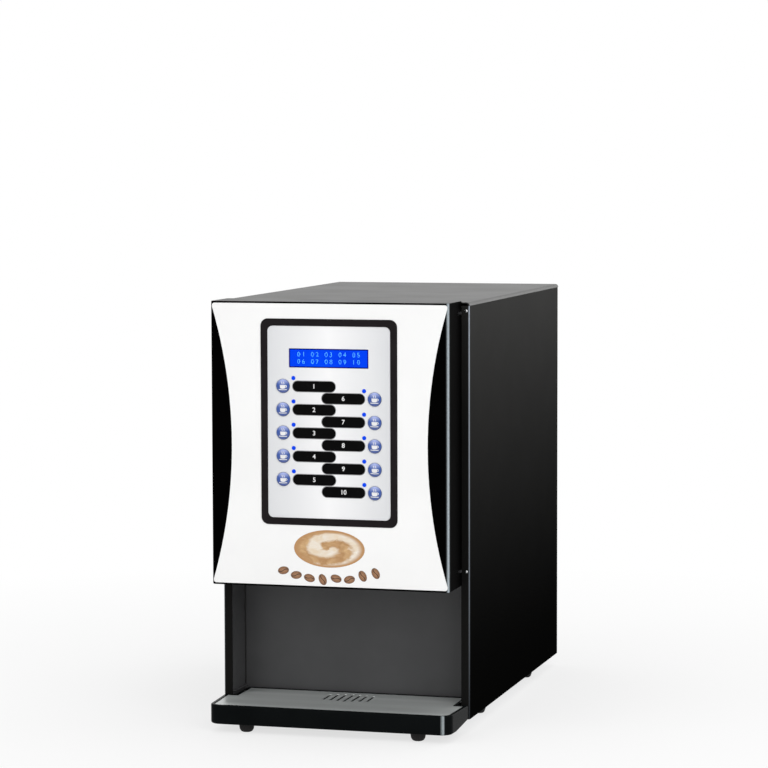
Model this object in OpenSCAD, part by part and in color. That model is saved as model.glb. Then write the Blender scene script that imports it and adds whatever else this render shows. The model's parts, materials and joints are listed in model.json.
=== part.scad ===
// Countertop hot drink vending machine: a sheet-steel cabinet, a deep hinged door with a keypad
// of ten drink buttons, an open cup bay with a pull-out drip tray, and the works behind the door.
// Millimetres. +X is right seen from the front, +Y is to the back, +Z is up.
// The origin is on the counter, below the middle of the machine's box.

/* [Cabinet] */
// Width over the side panels
cabinet_w = 305; // [303:1:320]
// Depth from the front flanges to the rear panel
cabinet_d = 480; // [478:1:510]
// Height of the cabinet's top above the counter
cabinet_top = 508; // [505:1:530]
// Height of the side panels' lower edge above the counter
cabinet_bottom = 16; // [14:1:18]
// Thickness of the cabinet's sheet steel
sheet = 1.2; // [1:0.1:1.5]
// Width of the flange folded in at the front of each side panel
flange_w = 10.5; // [9:0.5:11]
// Radius of the bend where the top meets the sides
top_bend_r = 4; // [3:0.5:6]
// Diameter of the cabinet's rubber feet
foot_d = 18; // [16:1:24]

/* [Door] */
// Width of the door
door_w = 289; // [286:1:290]
// Thickness of the door, front to back
door_t = 62; // [60:1:64]
// Height of the door
door_h = 334.5; // [331:0.5:335]
// Space between the door's back and the cabinet's flanges
door_gap = 3; // [2.5:0.1:4]
// Radius of the door's upright corners, and of the corner round the hinge pins
door_corner_r = 4.5; // [4:0.1:5]
// Thickness of the door moulding's front wall
door_front_wall = 4; // [3.5:0.1:5]
// Thickness of the door moulding's other walls
door_wall = 3; // [2.5:0.1:3.5]
// How far the white panel's sides draw in at its waist
waist_in = 25.5; // [15:0.5:30]
// Radius of the hinge pins
hinge_pin_r = 2.5; // [2:0.1:3]

/* [Keypad] */
// Width of the keypad's bezel
bezel_w = 165; // [160:1:172]
// Height of the keypad's bezel
bezel_h = 241; // [236:1:246]
// Width of the bezel's border
bezel_border = 8; // [6:0.5:9]
// Diameter of a drink button's cap
button_d = 16; // [14:0.5:17]
// Space between two buttons in one column
button_pitch = 27.3; // [26:0.1:28]
// How far a button goes in
button_travel = 1; // [0.5:0.1:1]
// Width of the display's window
display_w = 96; // [90:1:100]
// Height of the display's window
display_h = 22; // [18:1:24]
// Width of a drink's label
label_w = 52; // [44:1:54]
// Height of a drink's label
label_h = 12.4; // [11:0.1:13]

/* [Cup bay] */
// Depth of the bay behind the front flanges
bay_d = 52; // [48:1:56]
// How far the drip tray stands out in front of the flanges
tray_reach = 74.5; // [72:0.5:78]
// Width of the drip tray at the cabinet's front
tray_w = 302; // [300:1:305]
// Angle at which the drip tray's sides draw in towards the front
tray_taper = 3; // [0:0.5:6]
// Height of the drip tray's rim above the counter
tray_top = 33; // [32:0.5:34]
// Radius of the drip tray's front corners
tray_corner_r = 14; // [10:1:24]

/* [Works] */
// Space between two powder canisters, middle to middle
canister_pitch = 94; // [93:0.5:95]
// Width of a powder canister
canister_w = 86; // [80:1:88]
// Radius of the powder augers
auger_r = 15; // [12:0.5:16]
// Radius of the whipper impellers
impeller_r = 13; // [10:0.5:14]
// Radius of the water inlet's thread
inlet_r = 13.2; // [10:0.1:14]
// How far the water inlet stands out at the back
inlet_reach = 25.5; // [20:0.5:30]
// Radius of the cord gland's bore
gland_bore_r = 4.2; // [3:0.1:5]

/* [Hidden] */
$fn = 48;
eps = 0.01;
// Radial space of a shaft that turns in its bore, and of a piece that slides in a hole
run = 0.06;
slide = 0.3;

// The cabinet's front flanges are at y = 0 in the modules, and this puts them in the part's frame
front_y = -(cabinet_d + inlet_reach - tray_reach) / 2;
half_w = cabinet_w / 2;
flange_in = half_w - flange_w;
side_top = cabinet_top - top_bend_r;
rear_out = cabinet_d;
screw_r = 1.9;
screw_x = half_w - 5.5;
screw_zs = [for (k = [0:3]) cabinet_bottom + 26 + k * 145];
foot_x = half_w - 20;
foot_ys = [126, 378];

// Door
door_front = -door_gap - door_t;
door_bottom = 175.5;
door_top = door_bottom + door_h;
door_mid_z = door_bottom + door_h / 2;
hinge_x = door_w / 2 - door_corner_r;
hinge_y = -door_gap - door_corner_r;
hinge_low_z = door_bottom + 17.5;
hinge_high_z = door_top - 14;
lug_t = 3;
hinge_slot_h = 4.4;
hinge_reach = 18;
inlay_t = 2;
waist_half_h = door_h / 2;
waist_r = (waist_half_h * waist_half_h + waist_in * waist_in) / (2 * waist_in);
lock_y = hinge_y - 14;
lock_z = door_mid_z - 40;
lock_r = 9;
cam_in = 24;
cam_out = 30;
cam_x = -door_w / 2 + 12.5;

// Keypad
key_z = door_bottom + 194;
bezel_r = 8.5;
plate_r = 6.5;
plate_w = bezel_w - 2 * bezel_border;
plate_h = bezel_h - 2 * bezel_border;
bezel_proud = 0.8;
display_z = key_z + 75;
button_x = 55.5;
first_button_z = key_z + 42;
column_drop = button_pitch / 2;
label_x = button_x - 37.8;
led_x = button_x - 12.7;
led_up = 9.5;
led_r = 2.4;
buttons = [1:10];

// Cup bay and drip tray
cheek_in = half_w - 9.5;
shelf_z = 180;
nozzle_y = 20;
nozzle_z = 164;
nozzle_pitch = 14;
tray_wall = 4.5;
tray_floor_z = 10;
tray_step_z = 19;
tray_rear_w = 276;
tray_back = -1.5;
// The tray's straight sides run this far inside the corners' arcs, so that line and arc cross cleanly
tray_arc_overlap = 0.02;
tray_rise_y = -47;
plate_t = 1.2;
plate_z = tray_top - 0.7 - plate_t;
tray_foot_d = 19;
tray_foot_x = 105;
tray_foot_y = -58;

// Works
chassis_t = 1.5;
chassis_w = cabinet_w - 6;
wall_y = 119;
step_z = 290;
upper_wall_y = 206;
stations = [1:3];
auger_z = 310;
auger_shaft_r = 4;
trough_r = auger_r + 2;
canister_wall = 2.5;
canister_front = 52;
canister_back = 200;
canister_top = 428;
spout_y = 41;
flap_y = 128;
flap_z = canister_top + 3.2;
flap_pin_r = 1.6;
bowl_y = 44;
bowl_z = 236;
bowl_r = 18;
bowl_wall = 2.5;
bowl_top = 272;
bowl_spout_y = 34;
bowl_spout_z = 208;
whip_shaft_r = 3;
hose_r = 5;
water_hose_r = 4;
water_z = 279;
tank_w = 200;
tank_d = 130;
tank_y = 365;
tank_z = 250;
tank_h = 170;
valve_y = 285;
fan_z = 448;
fan_size = 80;
fan_bore_r = 38;
fan_pin_r = 2;
inlet_x = -90;
inlet_neck_r = inlet_r - 0.6;
inlet_z = 70;
gland_x = 95;
gland_z = 60;

function station_x(i) = (i - 2) * canister_pitch;
function water_x(i) = station_x(i) + (i == 3 ? -12 : 12);
function key_x(i, x) = i <= 5 ? -x : x;
function key_row_z(i) = first_button_z - ((i - 1) % 5) * button_pitch - (i <= 5 ? 0 : column_drop);

// Moves a piece drawn from the front flanges into the part's frame
module placed() {
    translate([0, front_y, 0]) children();
}

// A flat outline in x and z, made a plate from y to y + t
module facing(y, t) {
    translate([0, y + t, 0]) rotate([90, 0, 0]) linear_extrude(t) children();
}

// A round bar along y, and one along x
module y_rod(r, y0, y1) {
    translate([0, y1, 0]) rotate([90, 0, 0]) cylinder(r = r, h = y1 - y0);
}

module x_rod(r, x0, x1) {
    translate([x0, 0, 0]) rotate([0, 90, 0]) cylinder(r = r, h = x1 - x0);
}

// A block given by its two corners
module block(low, high) {
    translate(low) cube(high - low);
}

module rounded_rect(w, h, r) {
    square([w - 2 * r, h], center = true);
    square([w, h - 2 * r], center = true);
    for (sx = [-1, 1], sy = [-1, 1])
        translate([sx * (w / 2 - r), sy * (h / 2 - r)]) circle(r);
}

module mirrored_pair() {
    for (s = [0, 1]) mirror([s, 0, 0]) children();
}

// Base pan: flat floor with low upstands that the side and rear panels lap over
module base_pan() {
    upstand = 12;
    pan_in = half_w - sheet - 0.4;
    back = rear_out - 3;
    color("dimgray") placed() {
        block([-pan_in, 1.5, cabinet_bottom], [pan_in, back, cabinet_bottom + sheet + 0.3]);
        mirrored_pair()
            block([pan_in - sheet, 60, cabinet_bottom], [pan_in, back, cabinet_bottom + upstand]);
        block([-flange_in, back - sheet, cabinet_bottom], [flange_in, back, cabinet_bottom + upstand]);
    }
}

// Side panel: black painted sheet, folded in at the front and at the back
module side_panel() {
    rear_flange_y = rear_out - 2 * sheet - 0.2;
    difference() {
        union() {
            block([half_w - sheet, 0, cabinet_bottom], [half_w, rear_out - sheet - 0.2, side_top]);
            block([flange_in, 0, cabinet_bottom], [half_w, sheet, side_top]);
            block([flange_in, rear_flange_y, cabinet_bottom],
                [half_w, rear_flange_y + sheet, side_top]);
        }
        for (z = screw_zs)
            translate([screw_x, 0, z]) y_rod(screw_r + 0.1, rear_flange_y - 1, rear_out);
    }
}

module right_side_panel() {
    color([0.09, 0.09, 0.09]) placed() side_panel();
}

// The left panel also holds the tab that the door lock's cam swings behind
module left_side_panel() {
    tab_in = -flange_in + 8;
    color([0.09, 0.09, 0.09]) placed() {
        mirror([1, 0, 0]) side_panel();
        block([-flange_in - 1, 0, lock_z - 10], [tab_in, sheet, lock_z + 6]);
    }
}

// Rear panel: vented sheet with the fan grille, the water inlet's hole and the cord's hole
module rear_panel() {
    low = cabinet_bottom + 2;
    high = side_top - 1.5;
    grille_pitch = 8;
    vent_rows = 3;
    color([0.1, 0.1, 0.1]) placed() facing(rear_out - sheet, sheet) difference() {
        translate([0, (low + high) / 2]) square([cabinet_w - 3, high - low], center = true);
        for (k = [-4:4]) intersection() {
            translate([0, fan_z]) circle(fan_bore_r - 3);
            translate([k * grille_pitch, fan_z]) square([4.5, 2 * fan_bore_r], center = true);
        }
        for (row = [0:vent_rows - 1], k = [-5:5])
            translate([k * 16, 150 + row * 40]) rounded_rect(5, 30, 2.4);
        for (s = [-1, 1], z = screw_zs)
            translate([s * screw_x, z]) circle(screw_r + 0.1);
        translate([inlet_x, inlet_z]) circle(inlet_neck_r + slide);
        translate([gland_x, gland_z]) circle(8.1);
    }
}

// Top cover: sheet with round bends at the sides and lips that hook inside the other panels
module top_cover() {
    lip = 14;
    lip_out = half_w - sheet - 0.2;
    module dome(inset) {
        intersection() {
            union() {
                translate([-half_w + top_bend_r, side_top - 1])
                    square([cabinet_w - 2 * top_bend_r, top_bend_r + 1 - inset]);
                for (s = [-1, 1])
                    translate([s * (half_w - top_bend_r), side_top]) circle(top_bend_r - inset);
            }
            translate([-half_w, side_top]) square([cabinet_w, top_bend_r]);
        }
    }
    color([0.09, 0.09, 0.09]) placed() {
        facing(0, rear_out) difference() {
            dome(0);
            dome(sheet);
        }
        facing(2, rear_out - 6) for (s = [-1, 1])
            translate([s * (lip_out - sheet / 2), side_top - lip / 2 + 1.2])
                square([sheet, lip + 2.4], center = true);
        block([-flange_in + 1, 0, side_top - lip], [hinge_x - 13, sheet, side_top + 3]);
        block([-flange_in + 2, rear_out - 4, side_top - lip],
            [flange_in - 2, rear_out - 4 + sheet, side_top + 3]);
    }
}

// Bay liner: one sheet bent in a U round the cup bay, with a ledge over each side of the tray
module bay_liner() {
    low = cabinet_bottom + 2;
    high = shelf_z - 0.2;
    ledge_z = tray_top + 2;
    color([0.27, 0.27, 0.28]) placed() {
        block([-cheek_in - sheet, bay_d, low], [cheek_in + sheet, bay_d + sheet, high]);
        mirrored_pair() {
            block([cheek_in, 1.5, low], [cheek_in + sheet, bay_d + sheet, high]);
            block([cheek_in - 3.5, 4, ledge_z], [cheek_in + sheet, bay_d + sheet, ledge_z + sheet]);
        }
    }
}

// Chassis: one sheet bent into steps, from the bay's ceiling to the canisters' rear wall
module chassis_frame() {
    wall_top = side_top - 18;
    t = chassis_t;
    color([0.72, 0.73, 0.74]) placed() difference() {
        union() {
            block([-chassis_w / 2, 2, shelf_z], [chassis_w / 2, wall_y + t, shelf_z + t]);
            block([-chassis_w / 2, wall_y, shelf_z], [chassis_w / 2, wall_y + t, step_z]);
            block([-chassis_w / 2, wall_y, step_z - t], [chassis_w / 2, upper_wall_y + t, step_z]);
            block([-chassis_w / 2, upper_wall_y, step_z - t], [chassis_w / 2, upper_wall_y + t, wall_top]);
        }
        block([-27, nozzle_y - 13, shelf_z - 1], [27, nozzle_y + 13, shelf_z + 3]);
        for (i = stations) {
            translate([station_x(i), 0, bowl_z]) y_rod(6, wall_y - 1, wall_y + 3);
            translate([station_x(i), 0, auger_z]) y_rod(7, upper_wall_y - 1, upper_wall_y + 3);
            translate([water_x(i), 0, water_z]) y_rod(water_hose_r + 1.5, wall_y - 1, wall_y + 3);
        }
    }
}

// A rubber foot, rounded in towards the counter
module rubber_foot(d, h) {
    rotate_extrude() polygon([[0, 0], [0.26 * d, 0], [0.36 * d, 0.1 * h], [0.44 * d, 0.35 * h],
        [d / 2, h], [0, h]]);
}

module cabinet_feet() {
    color([0.05, 0.05, 0.05]) placed() for (s = [-1, 1], y = foot_ys)
        translate([s * foot_x, y, 0]) rubber_foot(foot_d, cabinet_bottom);
}

// Pan-head screws that hold the rear panel to the side panels
module panel_screws() {
    color("silver") placed() for (s = [-1, 1], z = screw_zs) translate([s * screw_x, 0, z]) {
        y_rod(screw_r, rear_out - 5, rear_out + eps);
        y_rod(3.6, rear_out, rear_out + 1.8);
    }
}

// Hinge bracket: a leaf behind the right flange, a lug in front of it and a pin on the lug
module hinge_bracket(z, up) {
    pin_l = 16;
    leaf_h = 30;
    leaf_y = sheet + 0.1;
    leaf_t = 2;
    leaf_z = up ? -4 : 4 - leaf_h;
    translate([0, 0, z]) {
        translate([0, 0, -lug_t / 2]) linear_extrude(lug_t) {
            translate([hinge_x, hinge_y]) circle(door_corner_r);
            translate([hinge_x - door_corner_r, hinge_y])
                square([flange_in - 0.4 - hinge_x + door_corner_r, leaf_y + leaf_t - hinge_y]);
        }
        block([hinge_x - 12, leaf_y, leaf_z], [half_w - 3.2, leaf_y + leaf_t, leaf_z + leaf_h]);
        translate([hinge_x, hinge_y, up ? 0 : -pin_l]) cylinder(r = hinge_pin_r, h = pin_l);
    }
}

module hinge_brackets() {
    color("silver") placed() {
        hinge_bracket(hinge_low_z, true);
        hinge_bracket(hinge_high_z, false);
    }
}

// Water inlet: a solenoid valve with its neck through the rear panel, a collar and a threaded stub
module water_inlet_valve() {
    collar_t = 3;
    stub_y = rear_out + 0.1 + collar_t + 1;
    color([0.85, 0.85, 0.82]) placed() translate([inlet_x, 0, inlet_z]) difference() {
        union() {
            y_rod(inlet_r, stub_y, rear_out + inlet_reach);
            y_rod(inlet_neck_r, rear_out - 10, stub_y + eps);
            y_rod(inlet_r + 4, rear_out + 0.1, rear_out + 0.1 + collar_t);
            y_rod(11, rear_out - 56, rear_out - 9);
            block([-13, rear_out - 48, 6], [13, rear_out - 20, 42]);
            translate([0, rear_out - 50, -20]) cylinder(r = hose_r, h = 17);
        }
        y_rod(9, rear_out - 4, rear_out + inlet_reach + 1);
    }
}

// Cord gland: a flanged bush in the rear panel with a tapered tail, bored through
module cord_gland() {
    tail = 14;
    color([0.06, 0.06, 0.06]) placed() translate([gland_x, 0, gland_z]) difference() {
        union() {
            y_rod(8, rear_out - 12, rear_out + 1);
            y_rod(11, rear_out, rear_out + 3);
            translate([0, rear_out + 3 + tail, 0]) rotate([90, 0, 0]) cylinder(r1 = 6.5, r2 = 9, h = tail);
        }
        y_rod(gland_bore_r, rear_out - 13, rear_out + 4 + tail);
    }
}

// Water tank: stainless steel, open inside, with ports for the element, the fill and the valves
module water_tank() {
    wall = 1.5;
    color([0.75, 0.76, 0.78]) placed() difference() {
        translate([0, tank_y, tank_z]) linear_extrude(tank_h) rounded_rect(tank_w, tank_d, 12);
        translate([0, tank_y, tank_z + wall])
            linear_extrude(tank_h - 2 * wall) rounded_rect(tank_w - 2 * wall, tank_d - 2 * wall, 11);
        translate([0, tank_y, tank_z + tank_h - 3]) cylinder(r = 20, h = 5);
        translate([-60, tank_y, tank_z - 1]) cylinder(r = 3.2, h = 4);
        for (i = stations)
            translate([water_x(i), 0, water_z]) y_rod(6, tank_y - tank_d / 2 - 1, tank_y - tank_d / 2 + 3);
    }
}

// Heating element: a flange on the tank's top with a bent tube hanging in the water
module heating_element() {
    top = tank_z + tank_h;
    leg_x = 14;
    leg_l = 110;
    color([0.6, 0.42, 0.25]) placed() translate([0, tank_y, top]) {
        cylinder(r = 28, h = 4);
        translate([0, 0, 4]) cylinder(r = 12, h = 10);
        for (s = [-1, 1]) translate([s * leg_x, 0, -leg_l]) cylinder(r = 4, h = leg_l + 1);
        translate([0, 0, -leg_l]) rotate([-90, 0, 0])
            rotate_extrude(angle = 180) translate([leg_x, 0]) circle(4);
    }
}

// Dispense valves: one solenoid for each mixing bowl, screwed into the tank's front
module dispense_valves() {
    back = tank_y - tank_d / 2 - 0.1;
    color([0.2, 0.2, 0.22]) placed() for (i = stations) translate([water_x(i), 0, water_z]) {
        y_rod(water_hose_r, valve_y, back);
        y_rod(9, valve_y + 5, back);
        block([-11, valve_y + 1, -30], [11, back - 1, -5]);
    }
}

// Power supply: a folded steel case with cooling fins, standing on the base pan
module power_supply() {
    low = cabinet_bottom + sheet + 0.4;
    fins = 9;
    color([0.55, 0.56, 0.58]) placed() translate([65, 360, low]) {
        block([-45, -60, 0], [45, 60, 55]);
        for (k = [0:fins - 1]) translate([0, -52 + k * 13, 54]) block([-42, -1.5, 0], [42, 1.5, 14]);
    }
}

// Fan housing: a square frame behind the rear panel's grille, with the rotor's pin
module fan_housing() {
    front = rear_out - sheet - 0.2 - 25;
    back = rear_out - sheet - 0.2;
    color([0.08, 0.08, 0.08]) placed() translate([0, 0, fan_z]) {
        difference() {
            block([-fan_size / 2, front, -fan_size / 2], [fan_size / 2, back, fan_size / 2]);
            y_rod(fan_bore_r, front - 1, back + 1);
        }
        for (a = [0, 90]) rotate([0, a + 45, 0])
            block([-fan_bore_r - 1, back - 3, -2], [fan_bore_r + 1, back, 2]);
        y_rod(15, back - 3, back);
        y_rod(fan_pin_r, front + 4, back - 2);
    }
}

module fan_rotor() {
    front = rear_out - 23.5;
    back = rear_out - 5.5;
    blades = 7;
    color([0.12, 0.12, 0.13]) placed() translate([0, 0, fan_z]) difference() {
        union() {
            y_rod(16, front, back);
            for (k = [0:blades - 1]) rotate([0, k * 360 / blades, 0])
                translate([0, (front + back) / 2, 25.5]) rotate([0, 0, 38])
                    cube([1.6, 20, 20], center = true);
        }
        y_rod(fan_pin_r + run, front - 1, back + 1);
    }
}

// Auger motors: three geared motors on the back of the chassis's upper wall
module auger_motors() {
    y = upper_wall_y + chassis_t;
    color([0.32, 0.33, 0.36]) placed() for (i = stations) translate([station_x(i), y, auger_z]) difference() {
        union() {
            block([-24, 0.1, -17], [24, 26, 38]);
            translate([0, 0, 18]) y_rod(15, 25, 62);
        }
        y_rod(auger_shaft_r + run, -1, 16);
    }
}

// Whipper motors: three motors on the back of the chassis's lower wall
module whipper_motors() {
    y = wall_y + chassis_t;
    color([0.32, 0.33, 0.36]) placed() for (i = stations) translate([station_x(i), y, bowl_z]) difference() {
        union() {
            y_rod(18, 3, 46);
            y_rod(13, 0.1, 4);
        }
        y_rod(whip_shaft_r + run, -1, 18);
    }
}

// A soft hose along a cubic curve given by four points, with its rings turned from one side direction
function curve_point(p, t) =
    pow(1 - t, 3) * p[0] + 3 * t * pow(1 - t, 2) * p[1] + 3 * t * t * (1 - t) * p[2] + pow(t, 3) * p[3];
function curve_way(p, t) =
    pow(1 - t, 2) * (p[1] - p[0]) + 2 * t * (1 - t) * (p[2] - p[1]) + t * t * (p[3] - p[2]);
function unit(v) = v / norm(v);

module hose(p, r, side) {
    rings = 12;
    sides = 10;
    points = [for (k = [0:rings]) let (t = k / rings, way = unit(curve_way(p, t)),
        u = unit(cross(way, side)), v = cross(way, u)) for (j = [0:sides - 1])
        curve_point(p, t) + r * (cos(j * 360 / sides) * u + sin(j * 360 / sides) * v)];
    walls = [for (k = [0:rings - 1], j = [0:sides - 1]) let (a = k * sides + j,
        b = k * sides + (j + 1) % sides) each [[a, a + sides, b + sides], [a, b + sides, b]]];
    ends = [[for (j = [0:sides - 1]) j], [for (j = [sides - 1:-1:0]) rings * sides + j]];
    polyhedron(points, concat(walls, ends));
}

// Hoses: hot water to each bowl, drink from each bowl to the nozzle, cold water to the tank
module silicone_hoses() {
    nozzle_top = shelf_z + chassis_t + 5;
    color([0.86, 0.84, 0.8]) placed() {
        for (i = stations) {
            x = station_x(i);
            nx = (i - 2) * nozzle_pitch;
            hose([[x, bowl_spout_y, bowl_spout_z], [x, bowl_spout_y, bowl_spout_z - 20],
                [nx, nozzle_y, nozzle_top + 18], [nx, nozzle_y, nozzle_top]], hose_r, [0, 1, 0]);
            hose([[water_x(i), valve_y, water_z], [water_x(i), 60, water_z],
                [water_x(i), 60, water_z], [water_x(i), 60, water_z - 12]], water_hose_r, [1, 0, 0]);
        }
        hose([[inlet_x, rear_out - 50, inlet_z - 20], [inlet_x, rear_out - 50, inlet_z - 80],
            [-60, tank_y, tank_z - 120], [-60, tank_y, tank_z]], hose_r, [0.6, 0.8, 0]);
    }
}

// Nozzle head: a block in the bay's ceiling that brings the three hoses over the cup
module nozzle_head() {
    color([0.1, 0.1, 0.1]) placed() translate([0, nozzle_y, 0]) difference() {
        union() {
            translate([0, 0, nozzle_z]) linear_extrude(shelf_z + chassis_t - nozzle_z + 5)
                rounded_rect(50, 24, 8);
            translate([0, 0, shelf_z + chassis_t]) linear_extrude(2.5) rounded_rect(62, 32, 6);
        }
        for (k = [-1:1]) translate([k * nozzle_pitch, 0, nozzle_z - 1]) cylinder(r = hose_r - 1, h = 30);
    }
}

// Powder canister: a clear hopper with a V floor over the auger, a spout in front and hinge ears on top
module powder_canister(i) {
    module hopper_profile(inset) {
        half = canister_w / 2 - inset;
        r = trough_r + canister_wall - inset;
        slope_z = auger_z + 40;
        translate([-half, slope_z - eps]) square([2 * half, canister_top - inset - slope_z]);
        polygon([[-half, slope_z], [half, slope_z], [r, auger_z], [-r, auger_z]]);
        translate([0, auger_z]) circle(r);
    }
    color([0.8, 0.83, 0.85, 0.6]) placed() translate([station_x(i), 0, 0]) difference() {
        union() {
            facing(canister_front, canister_back - canister_front) hopper_profile(0);
            for (y = [canister_front + 70, canister_back - 24])
                block([-30, y, step_z + 0.1], [30, y + 4, auger_z + 15]);
            translate([0, 0, auger_z]) y_rod(trough_r + canister_wall, spout_y - 15, canister_front + 1);
            translate([0, spout_y, auger_z - 27]) cylinder(r = 14, h = 20);
            mirrored_pair() block([20.6, flap_y - 4, canister_top - 1], [26.6, flap_y + 4, flap_z + 4]);
        }
        facing(canister_front + canister_wall, canister_back - canister_front - 2 * canister_wall)
            hopper_profile(canister_wall);
        translate([0, 0, auger_z]) y_rod(trough_r, spout_y - 12.5, canister_front + 5);
        translate([0, spout_y, auger_z - 28]) cylinder(r = 12, h = 24);
        translate([0, 0, auger_z]) y_rod(auger_shaft_r + slide, canister_back - 5, canister_back + 1);
        block([-36, 66, canister_top - 5], [36, flap_y - 10, canister_top + 1]);
        translate([0, flap_y, flap_z]) x_rod(flap_pin_r + run, -28, 28);
    }
}

// Refill flap: the front of the canister's top, on two stub pins in the canister's ears
module canister_flap(i) {
    color([0.7, 0.72, 0.74]) placed() translate([station_x(i), 0, 0]) {
        block([-39, 61, canister_top + 0.3], [39, flap_y - 8, canister_top + 2.3]);
        block([-19, flap_y - 9, canister_top + 0.3], [19, flap_y, canister_top + 2.3]);
        translate([0, flap_y, flap_z]) {
            x_rod(2.9, -20, 20);
            x_rod(flap_pin_r, -26, 26);
        }
        block([-12, 58, canister_top + 0.3], [12, 62, canister_top + 2.3]);
    }
}

// Auger: a two-start screw on a shaft that turns in the motor's gearbox
module auger(i) {
    front = spout_y - 10;
    length = canister_back - 6 - front;
    turns = 5;
    color([0.92, 0.92, 0.9]) placed() translate([station_x(i), 0, auger_z]) {
        y_rod(auger_shaft_r, front, upper_wall_y + chassis_t + 15);
        translate([0, front + 1, 0]) rotate([-90, 0, 0])
            linear_extrude(height = length, twist = 360 * turns, slices = 60, segments = 4)
                square([2 * auger_r, 3], center = true);
    }
}

// Mixing bowl: a funnel over a round whipping chamber, on a tube from the chassis wall
module mixing_bowl(i) {
    w = bowl_wall;
    module bowl_form(grow, top) {
        translate([0, bowl_y, bowl_z]) cylinder(r1 = bowl_r - 2 + grow, r2 = 31 + grow, h = top - bowl_z);
        translate([0, 0, bowl_z]) y_rod(bowl_r + grow, bowl_y - 16 - grow, bowl_y + 18 + grow);
        translate([0, bowl_spout_y, bowl_spout_z - (grow > 0 ? 0 : 1)])
            cylinder(r = hose_r - 1.6 + (grow > 0 ? 1.6 : 0), h = bowl_z - bowl_spout_z);
    }
    color([0.9, 0.9, 0.88]) placed() translate([station_x(i), 0, 0]) difference() {
        union() {
            bowl_form(w, bowl_top);
            translate([0, 0, bowl_z]) y_rod(9, bowl_y + 18, wall_y - 0.1);
        }
        bowl_form(0, bowl_top + 1);
        translate([0, 0, bowl_z]) y_rod(whip_shaft_r + 0.6, bowl_y + 15, wall_y + 1);
    }
}

// Whipper impeller: a disc with blades on the motor's shaft, in the bowl's chamber
module whipper_impeller(i) {
    blades = 6;
    disc_y = bowl_y + 10;
    color([0.15, 0.15, 0.16]) placed() translate([station_x(i), 0, bowl_z]) {
        y_rod(whip_shaft_r, disc_y - 8, wall_y + chassis_t + 17);
        y_rod(impeller_r, disc_y, disc_y + 2.5);
        for (k = [0:blades - 1]) rotate([0, k * 360 / blades, 0])
            block([4, disc_y - 6, -0.8], [impeller_r - 0.5, disc_y + 1, 0.8]);
    }
}

// The door's outline seen from above
module door_outline() {
    translate([0, door_front + door_t / 2]) rounded_rect(door_w, door_t, door_corner_r);
}

// The white panel's outline: straight at the top and the foot, drawn in to a waist at the sides
module waisted_outline(gap) {
    difference() {
        translate([0, door_mid_z]) rounded_rect(door_w - 4 - 2 * gap, door_h - 4 - 2 * gap, 3);
        for (s = [-1, 1])
            translate([s * (door_w / 2 - waist_in + waist_r), door_mid_z]) circle(waist_r + gap, $fn = 200);
    }
}

module key_outline(w, h, r) {
    translate([0, key_z]) rounded_rect(w, h, r);
}

// Space for a hinge lug in the door's rear corner
module hinge_slot(z) {
    block([hinge_x - hinge_reach, hinge_y - hinge_reach, z - hinge_slot_h / 2],
        [door_w / 2 + 1, 1, z + hinge_slot_h / 2]);
}

// Door shell: a deep black moulding, open at the back, with a shallow bed for the white panel
module door_shell() {
    boss_l = 22;
    inside = door_w / 2 - door_wall;
    ledge = 15;
    color([0.07, 0.065, 0.065]) placed() difference() {
        union() {
            difference() {
                translate([0, 0, door_bottom]) linear_extrude(door_h) door_outline();
                block([-inside, door_front + door_front_wall, door_bottom + door_wall],
                    [inside, 0, door_top - door_wall]);
            }
            translate([hinge_x, hinge_y, hinge_low_z]) cylinder(r = door_corner_r, h = boss_l);
            translate([hinge_x, hinge_y, hinge_high_z - boss_l]) cylinder(r = door_corner_r, h = boss_l);
        }
        facing(door_front - 1, inlay_t + 1) waisted_outline(0);
        facing(door_front - 1, door_front_wall + 2) key_outline(plate_w - ledge, plate_h - ledge, 3);
        hinge_slot(hinge_low_z);
        hinge_slot(hinge_high_z);
        translate([hinge_x, hinge_y, hinge_low_z]) cylinder(r = hinge_pin_r + run, h = 18);
        translate([hinge_x, hinge_y, hinge_high_z - 18]) cylinder(r = hinge_pin_r + run, h = 18);
        translate([0, lock_y, lock_z]) x_rod(lock_r + run, -door_w / 2 - 1, -inside + 1);
    }
}

// Door liner: the flat sheet that closes the moulding's back, cut away at the hinges and the lock
module door_liner() {
    in_w = door_w - 2 * door_wall - 0.4;
    in_h = door_h - 2 * door_wall - 0.4;
    t = 2;
    color([0.78, 0.78, 0.78]) placed() difference() {
        facing(-door_gap - t, t) translate([0, door_mid_z]) square([in_w, in_h], center = true);
        for (z = [hinge_low_z + 9, hinge_high_z - 9])
            block([hinge_x - hinge_reach, -door_gap - 3, z - 17], [door_w / 2, 0, z + 17]);
        block([-door_w / 2, -door_gap - 3, lock_z - 6], [cam_x + 3, 0, lock_z + 32]);
    }
}

// White panel: a flat sheet let into the door's front, cut out for the keypad
module graphic_panel() {
    color([0.93, 0.93, 0.92]) placed() facing(door_front, inlay_t) difference() {
        waisted_outline(0.15);
        key_outline(bezel_w + 0.4, bezel_h + 0.4, bezel_r + 0.2);
    }
}

module keypad_bezel() {
    color([0.13, 0.12, 0.12]) placed() facing(door_front - bezel_proud, inlay_t + bezel_proud) difference() {
        key_outline(bezel_w, bezel_h, bezel_r);
        key_outline(plate_w, plate_h, plate_r);
    }
}

// Keypad plate: silver, with holes for the buttons, the display and the indicators
module keypad_plate() {
    color([0.8, 0.81, 0.82]) placed() facing(door_front, inlay_t) difference() {
        key_outline(plate_w - 0.4, plate_h - 0.4, plate_r - 0.2);
        translate([0, display_z]) rounded_rect(display_w + 0.4, display_h + 0.4, 1);
        for (i = buttons) {
            translate([key_x(i, button_x), key_row_z(i)]) circle(button_d / 2 + slide);
            translate([key_x(i, led_x), key_row_z(i) + led_up]) circle(led_r + 0.1);
        }
    }
}

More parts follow.
